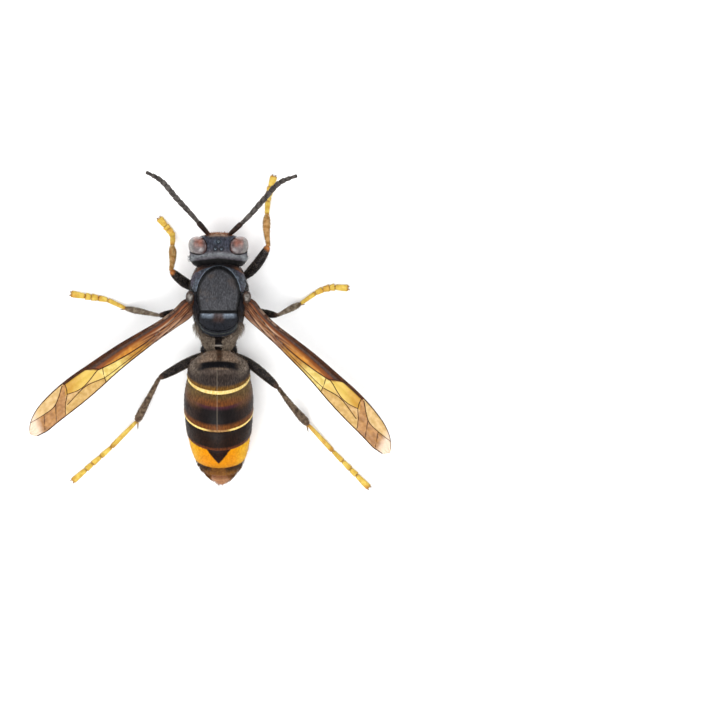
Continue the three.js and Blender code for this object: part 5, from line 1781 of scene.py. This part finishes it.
# %% [markdown]
# ## Coat
# From a step away a hornet looks bare, but its outline is soft: down covers the shell, and longer hair
# stands on its waist and face. Particle hair is lost when a model is exported, so each hair is a mesh of
# its own: a spike of three sides with one bend. There are tens of thousands, so their points are worked
# out all at once as arrays. Roots are drawn at random over a skin's triangles, larger ones getting more. A mesh can
# list the same triangles in another order from one run to the next, so they are put in order by their
# places first, and as many numbers are drawn for a skin whatever it keeps. Each run then gives one coat.

# %% Roots of the hairs
DRAW = np.random.default_rng(7)
HAIR_SIDES = 3
ROOT_DEPTH = 0.03  # how deep a hair is sunk in the shell
BEND = 0.55  # share of a hair's length where it bends


def unit(vectors):
    return vectors / np.maximum(np.linalg.norm(vectors, axis=-1, keepdims=True), 1e-9)


def roots_on(skin, count):
    """Random places on a skin in the animal's own measures, with the skin's normals and marks there."""
    mesh = skin.data
    mesh.calc_loop_triangles()
    corners = np.empty(len(mesh.loop_triangles) * 3, int)
    mesh.loop_triangles.foreach_get("vertices", corners)
    corners = corners.reshape(-1, 3)
    points = np.empty(len(mesh.vertices) * 3)
    mesh.vertices.foreach_get("co", points)
    points = (points.reshape(-1, 3) - np.array(at(0, 0, 0))) / MM
    marks = np.zeros(len(points))
    if "mark" in mesh.attributes:
        mesh.attributes["mark"].data.foreach_get("value", marks)
    corners = corners[np.lexsort(np.round(points[corners].mean(axis=1), 3).T)]
    first, second, third = (points[corners[:, k]] for k in range(3))
    across = np.cross(second - first, third - first)
    sizes = np.linalg.norm(across, axis=1)
    chosen = DRAW.choice(len(sizes), count, p=sizes / sizes.sum())
    shares = DRAW.dirichlet((1, 1, 1), count)
    places = (points[corners[chosen]] * shares[:, :, None]).sum(axis=1)
    return places, unit(across[chosen]), (marks[corners[chosen]] * shares).sum(axis=1)


print("a hair has", HAIR_SIDES * 3 + 1, "triangles")

# %% [markdown]
# A hair leaves its root at a slant, then bends down along the lie of the coat. Its corner of the map called
# OFBake is a patch at its root's place, as if the skin had been slit along its belly and rolled out flat: how
# far round the skin is one measure and how far along it the other. That keeps each hair's colour its own.

# %% Hairs on a skin
PATCH = 0.0015  # half the size of a hair's patch on the map
RING_TURNS = np.arange(HAIR_SIDES) * 2 * math.pi / HAIR_SIDES
HAIR_FACES = [(0, 2, 1), (0, 1, 4, 3), (1, 2, 5, 4), (2, 0, 3, 5), (3, 4, 6), (4, 5, 6), (5, 3, 6)]
REACH = np.array([0, 0, 0, BEND, BEND, BEND, 1.0])
BODY_AXIS = ((0, -23, 5), (0, 9, 5))


def unrolled(places, axis):
    """How far round and how far along its axis each place is, from 0 to 1."""
    begin, end = np.array(axis, float)
    way = unit(end - begin)
    level = unit(np.cross(way, (0.0, 0.0, 1.0)))
    off = places - begin
    turns = np.arctan2(off @ np.cross(level, way), off @ level) / (2 * math.pi) + 0.5
    return np.stack((turns, off @ way / np.linalg.norm(end - begin)), axis=1)


def grow(skin, count, length, lift, lie, thick=0.017, where=None, axis=BODY_AXIS, tone=0.0):
    """The points, maps, marks and tones of hairs on a skin, seven points to a hair."""
    places, normals, marks = roots_on(skin, count)
    swerve = DRAW.normal(0, 0.35, (count, 1))
    slant = lift + DRAW.normal(0, 0.12, (count, 1))
    reach = length * DRAW.uniform(0.6, 1.15, (count, 1))
    if where:
        kept = where(*places.T, normals, marks)
        places, normals, marks, swerve, slant, reach = (
            values[kept] for values in (places, normals, marks, swerve, slant, reach)
        )
    number = len(places)
    along = unit(lie - normals * (normals @ np.array(lie, float))[:, None])
    along = along * np.cos(swerve) + np.cross(normals, along) * np.sin(swerve)
    out = along * np.cos(slant) + normals * np.sin(slant)
    down = along * np.cos(slant * 0.4) + normals * np.sin(slant * 0.4)
    level = unit(np.cross(out, normals + along * 0.3))
    ring = [level * math.cos(turn) + np.cross(out, level) * math.sin(turn) for turn in RING_TURNS]
    root = places - normals * ROOT_DEPTH
    knee = places + out * reach * BEND
    tip = knee + down * reach * (1 - BEND)
    points = [root + side * thick for side in ring] + [knee + side * thick * 0.7 for side in ring] + [tip]
    corners = [(math.cos(turn), math.sin(turn)) for turn in RING_TURNS]
    spread = np.array(corners + [(x * 0.5, y * 0.5) for x, y in corners] + [(0, 0)]) * PATCH
    maps = unrolled(places, axis)[:, None, :] + spread[None]
    return np.stack(points, axis=1), maps, np.repeat(marks[:, None], 7, axis=1), np.full((number, 7), tone)


def coat(name, material, patches):
    """One piece of hair, grown on one or more skins side by side on the map."""
    grown = [grow(**patch) for patch in patches]
    for number, (points, maps, marks, tones) in enumerate(grown):
        maps[:, :, 0] = (maps[:, :, 0] + number) / len(grown)
    points, maps, marks, tones = (np.concatenate([one[k] for one in grown]) for k in range(4))
    hairs = len(points)
    faces = [[corner + 7 * hair for corner in face] for hair in range(hairs) for face in HAIR_FACES]
    mesh = bpy.data.meshes.new(name)
    mesh.from_pydata((points.reshape(-1, 3) * MM + np.array(at(0, 0, 0))).tolist(), [], faces)
    piece = bpy.data.objects.new(name, mesh)
    bpy.context.collection.objects.link(piece)
    for key, values in (("mark", marks), ("tone", tones), ("reach", np.tile(REACH, hairs))):
        mesh.attributes.new(key, "FLOAT", "POINT").data.foreach_set("value", values.ravel())
    corner_points = np.empty(len(mesh.loops), int)
    mesh.loops.foreach_get("vertex_index", corner_points)
    mesh.uv_layers.new(name="OFBake").data.foreach_set("uv", maps.reshape(-1, 2)[corner_points].ravel())
    finished(piece, material, "hair")
    print(name, "has", hairs, "hairs")
    return piece


def hair_finish(name, root_colour, tip_colour, plan, share):
    """Hair is darker at its root. It takes a share of its colour from the plan of the skin that it grows on."""
    finish = Finish(name, Roughness=0.6, Specular_IOR_Level=0.06)
    place = finish.place()
    own_colour = finish.mix(finish.mark("reach").rise(0.0, 0.9), paint(root_colour),
                            flecked(finish, place, root_colour, tip_colour, 0.4))
    return finish.done(Base_Color=finish.mix(share, own_colour, plan(finish, place)))


# %% Hair of head and thorax
def head_skin(x, y, z, normals, marks):
    beside_eyes = (np.abs(x) > 1.55) & (y > 5.25) & (z > 3.7)
    hollow = (y + np.abs(x) * 0.12 < CROWN_EDGE) & (np.abs(x) < 3.3)
    return ~beside_eyes & ~hollow


def upper(x, y, z, normals, marks):
    return normals[:, 2] > -0.2


def shaggy(x, y, z, normals, marks):
    return (y < -1.2) | (z < 7.5)


def hind_flank(x, y, z, normals, marks):
    return (y < -2.6) & (y > -4.2) & (z > 3.5)


def shaggy_waist(x, y, z, normals, marks):
    return (np.abs(x) > 0.45) | (z < 5.5)


def side_plan(finish, place):
    """Black before the wings' roots, and pale brown behind them."""
    y = finish.axes(place)[1]
    return finish.mix(y.rise(-2.4, -3.4), flecked(finish, place, "121012", "2a2628"),
                      flecked(finish, place, "6a5c4e", "b8a896", 0.3))


head_hair = hair_finish("head_down", "2a2724", "77716a", face_plan, 0.68)
back_hair = hair_finish("back_down", "1c1a18", "443f3a", velvet_plan, 0.68)
waist_hair = hair_finish("waist_down", "2a211a", "8a7a68", side_plan, 0.6)
DOWN_BACK = (0, -1, 0)
coat("coat_of_head", head_hair, [
    dict(skin=head, count=9000, length=0.2, lift=0.5, lie=(0, 1, 0.4), where=head_skin),
    dict(skin=head, count=1600, length=0.5, lift=1.1, lie=(0, 1, 0.4), where=head_skin, thick=0.014),
    dict(skin=shield, count=900, length=0.16, lift=0.4, lie=(0, 0, -1)),
])
coat("coat_of_back", back_hair, [
    dict(skin=scutum, count=5500, length=0.16, lift=0.4, lie=DOWN_BACK, where=upper),
    dict(skin=scutellum, count=1400, length=0.16, lift=0.4, lie=DOWN_BACK, where=upper),
    dict(skin=back_band, count=900, length=0.18, lift=0.5, lie=DOWN_BACK, where=upper),
    dict(skin=scutum, count=500, length=0.5, lift=1.15, lie=DOWN_BACK, where=upper, thick=0.014),
    dict(skin=scutellum, count=260, length=0.55, lift=1.15, lie=DOWN_BACK, where=upper, thick=0.014),
])
coat("coat_of_sides", waist_hair, [
    dict(skin=collar, count=3000, length=0.22, lift=0.5, lie=DOWN_BACK),
    dict(skin=flanks, count=7500, length=0.34, lift=0.6, lie=(0, -1, -0.3), where=shaggy),
    dict(skin=flanks, count=5200, length=1.05, lift=0.85, lie=(0, -1, 0), where=hind_flank, thick=0.02),
    dict(skin=rear, count=4600, length=0.55, lift=0.75, lie=DOWN_BACK, where=shaggy_waist, thick=0.02),
])

# %% Hair of the abdomen
def beyond_lip(front):
    """The part of a ring that the one before it leaves bare, and not the underside of its own lip."""
    def where(x, y, z, normals, marks):
        outward = normals[:, 0] * x + normals[:, 2] * (z - 4.4)
        return (marks > front + 0.15) & (outward > 0.3)
    return where


def as_rings(numbers):
    """A plan that gives a hair the colours of the ring that it grows on."""
    def plan(finish, place):
        mark = finish.mark()
        colour = RINGS[numbers[0]][2](finish, place)
        for number in numbers[1:]:
            edge = RING_ENDS[number] + 0.1
            colour = finish.mix(mark.rise(edge - 0.02, edge + 0.02), colour, RINGS[number][2](finish, place))
        return colour
    return plan


ring_hair = hair_finish("ring_down", "17110d", "50453b", as_rings([0, 1, 2]), 0.82)
tail_hair = hair_finish("tail_down", "6a4212", "c4903c", as_rings([3, 4, 5]), 0.75)
SHORT, LONG = 0.2, 0.4
ring_patches = []
for number, piece in enumerate(rings):
    front = RING_ENDS[number]
    length = SHORT if number < 4 else LONG
    ring_patches.append(dict(skin=piece, count=4200 - 300 * number, length=length, lift=0.28 + 0.05 * number,
                             lie=DOWN_BACK, where=beyond_lip(front)))
front_hair = dict(skin=rings[0], count=2600, length=0.45, lift=0.9, lie=(0, 1, 0.6),
                  where=lambda x, y, z, normals, marks: (marks < 7.8) & (marks > 6.4))
coat("coat_of_front_rings", ring_hair, [*ring_patches[:3], front_hair])
coat("coat_of_hind_rings", tail_hair, ring_patches[3:])

# %% Hair of the legs
def leg_plan(finish, place):
    """Grey-brown on the upper leg and yellow on the foot, by the tone that each hair carries."""
    return finish.mix(finish.mark("tone"), flecked(finish, place, "3a2f26", "8e7f6c"),
                      flecked(finish, place, "b48c34", "dcc478"))


leg_hair = hair_finish("leg_down", "352c22", "a3957c", leg_plan, 0.85)
for flank in ("left", "right"):
    patches = []
    for name, (hip, hip_end, knee, ankle, sole, toe, *bows) in LEGS.items():
        if name.endswith(flank):
            for part, count, length, lift, axis, tone in (
                ("hip", 350, 0.3, 0.6, (hip, hip_end), 0.0),
                ("thigh", 1200, 0.18, 0.35, (hip_end, knee), 0.0),
                ("shin", 1500, 0.2, 0.5, (knee, ankle), 0.6 if "fore" in name else 0.1),
                ("foot", 900, 0.11, 0.4, (sole, toe), 1.0),
            ):
                lie = tuple(Vector(axis[1]) - Vector(axis[0]))
                skin = bpy.data.objects[f"{name}_{part}"]
                patches.append(dict(skin=skin, count=count, length=length, lift=lift, lie=lie, axis=axis,
                                    thick=0.014, tone=tone, where=upper if part == "foot" else None))
    coat(f"coat_of_{flank}_legs", leg_hair, patches)
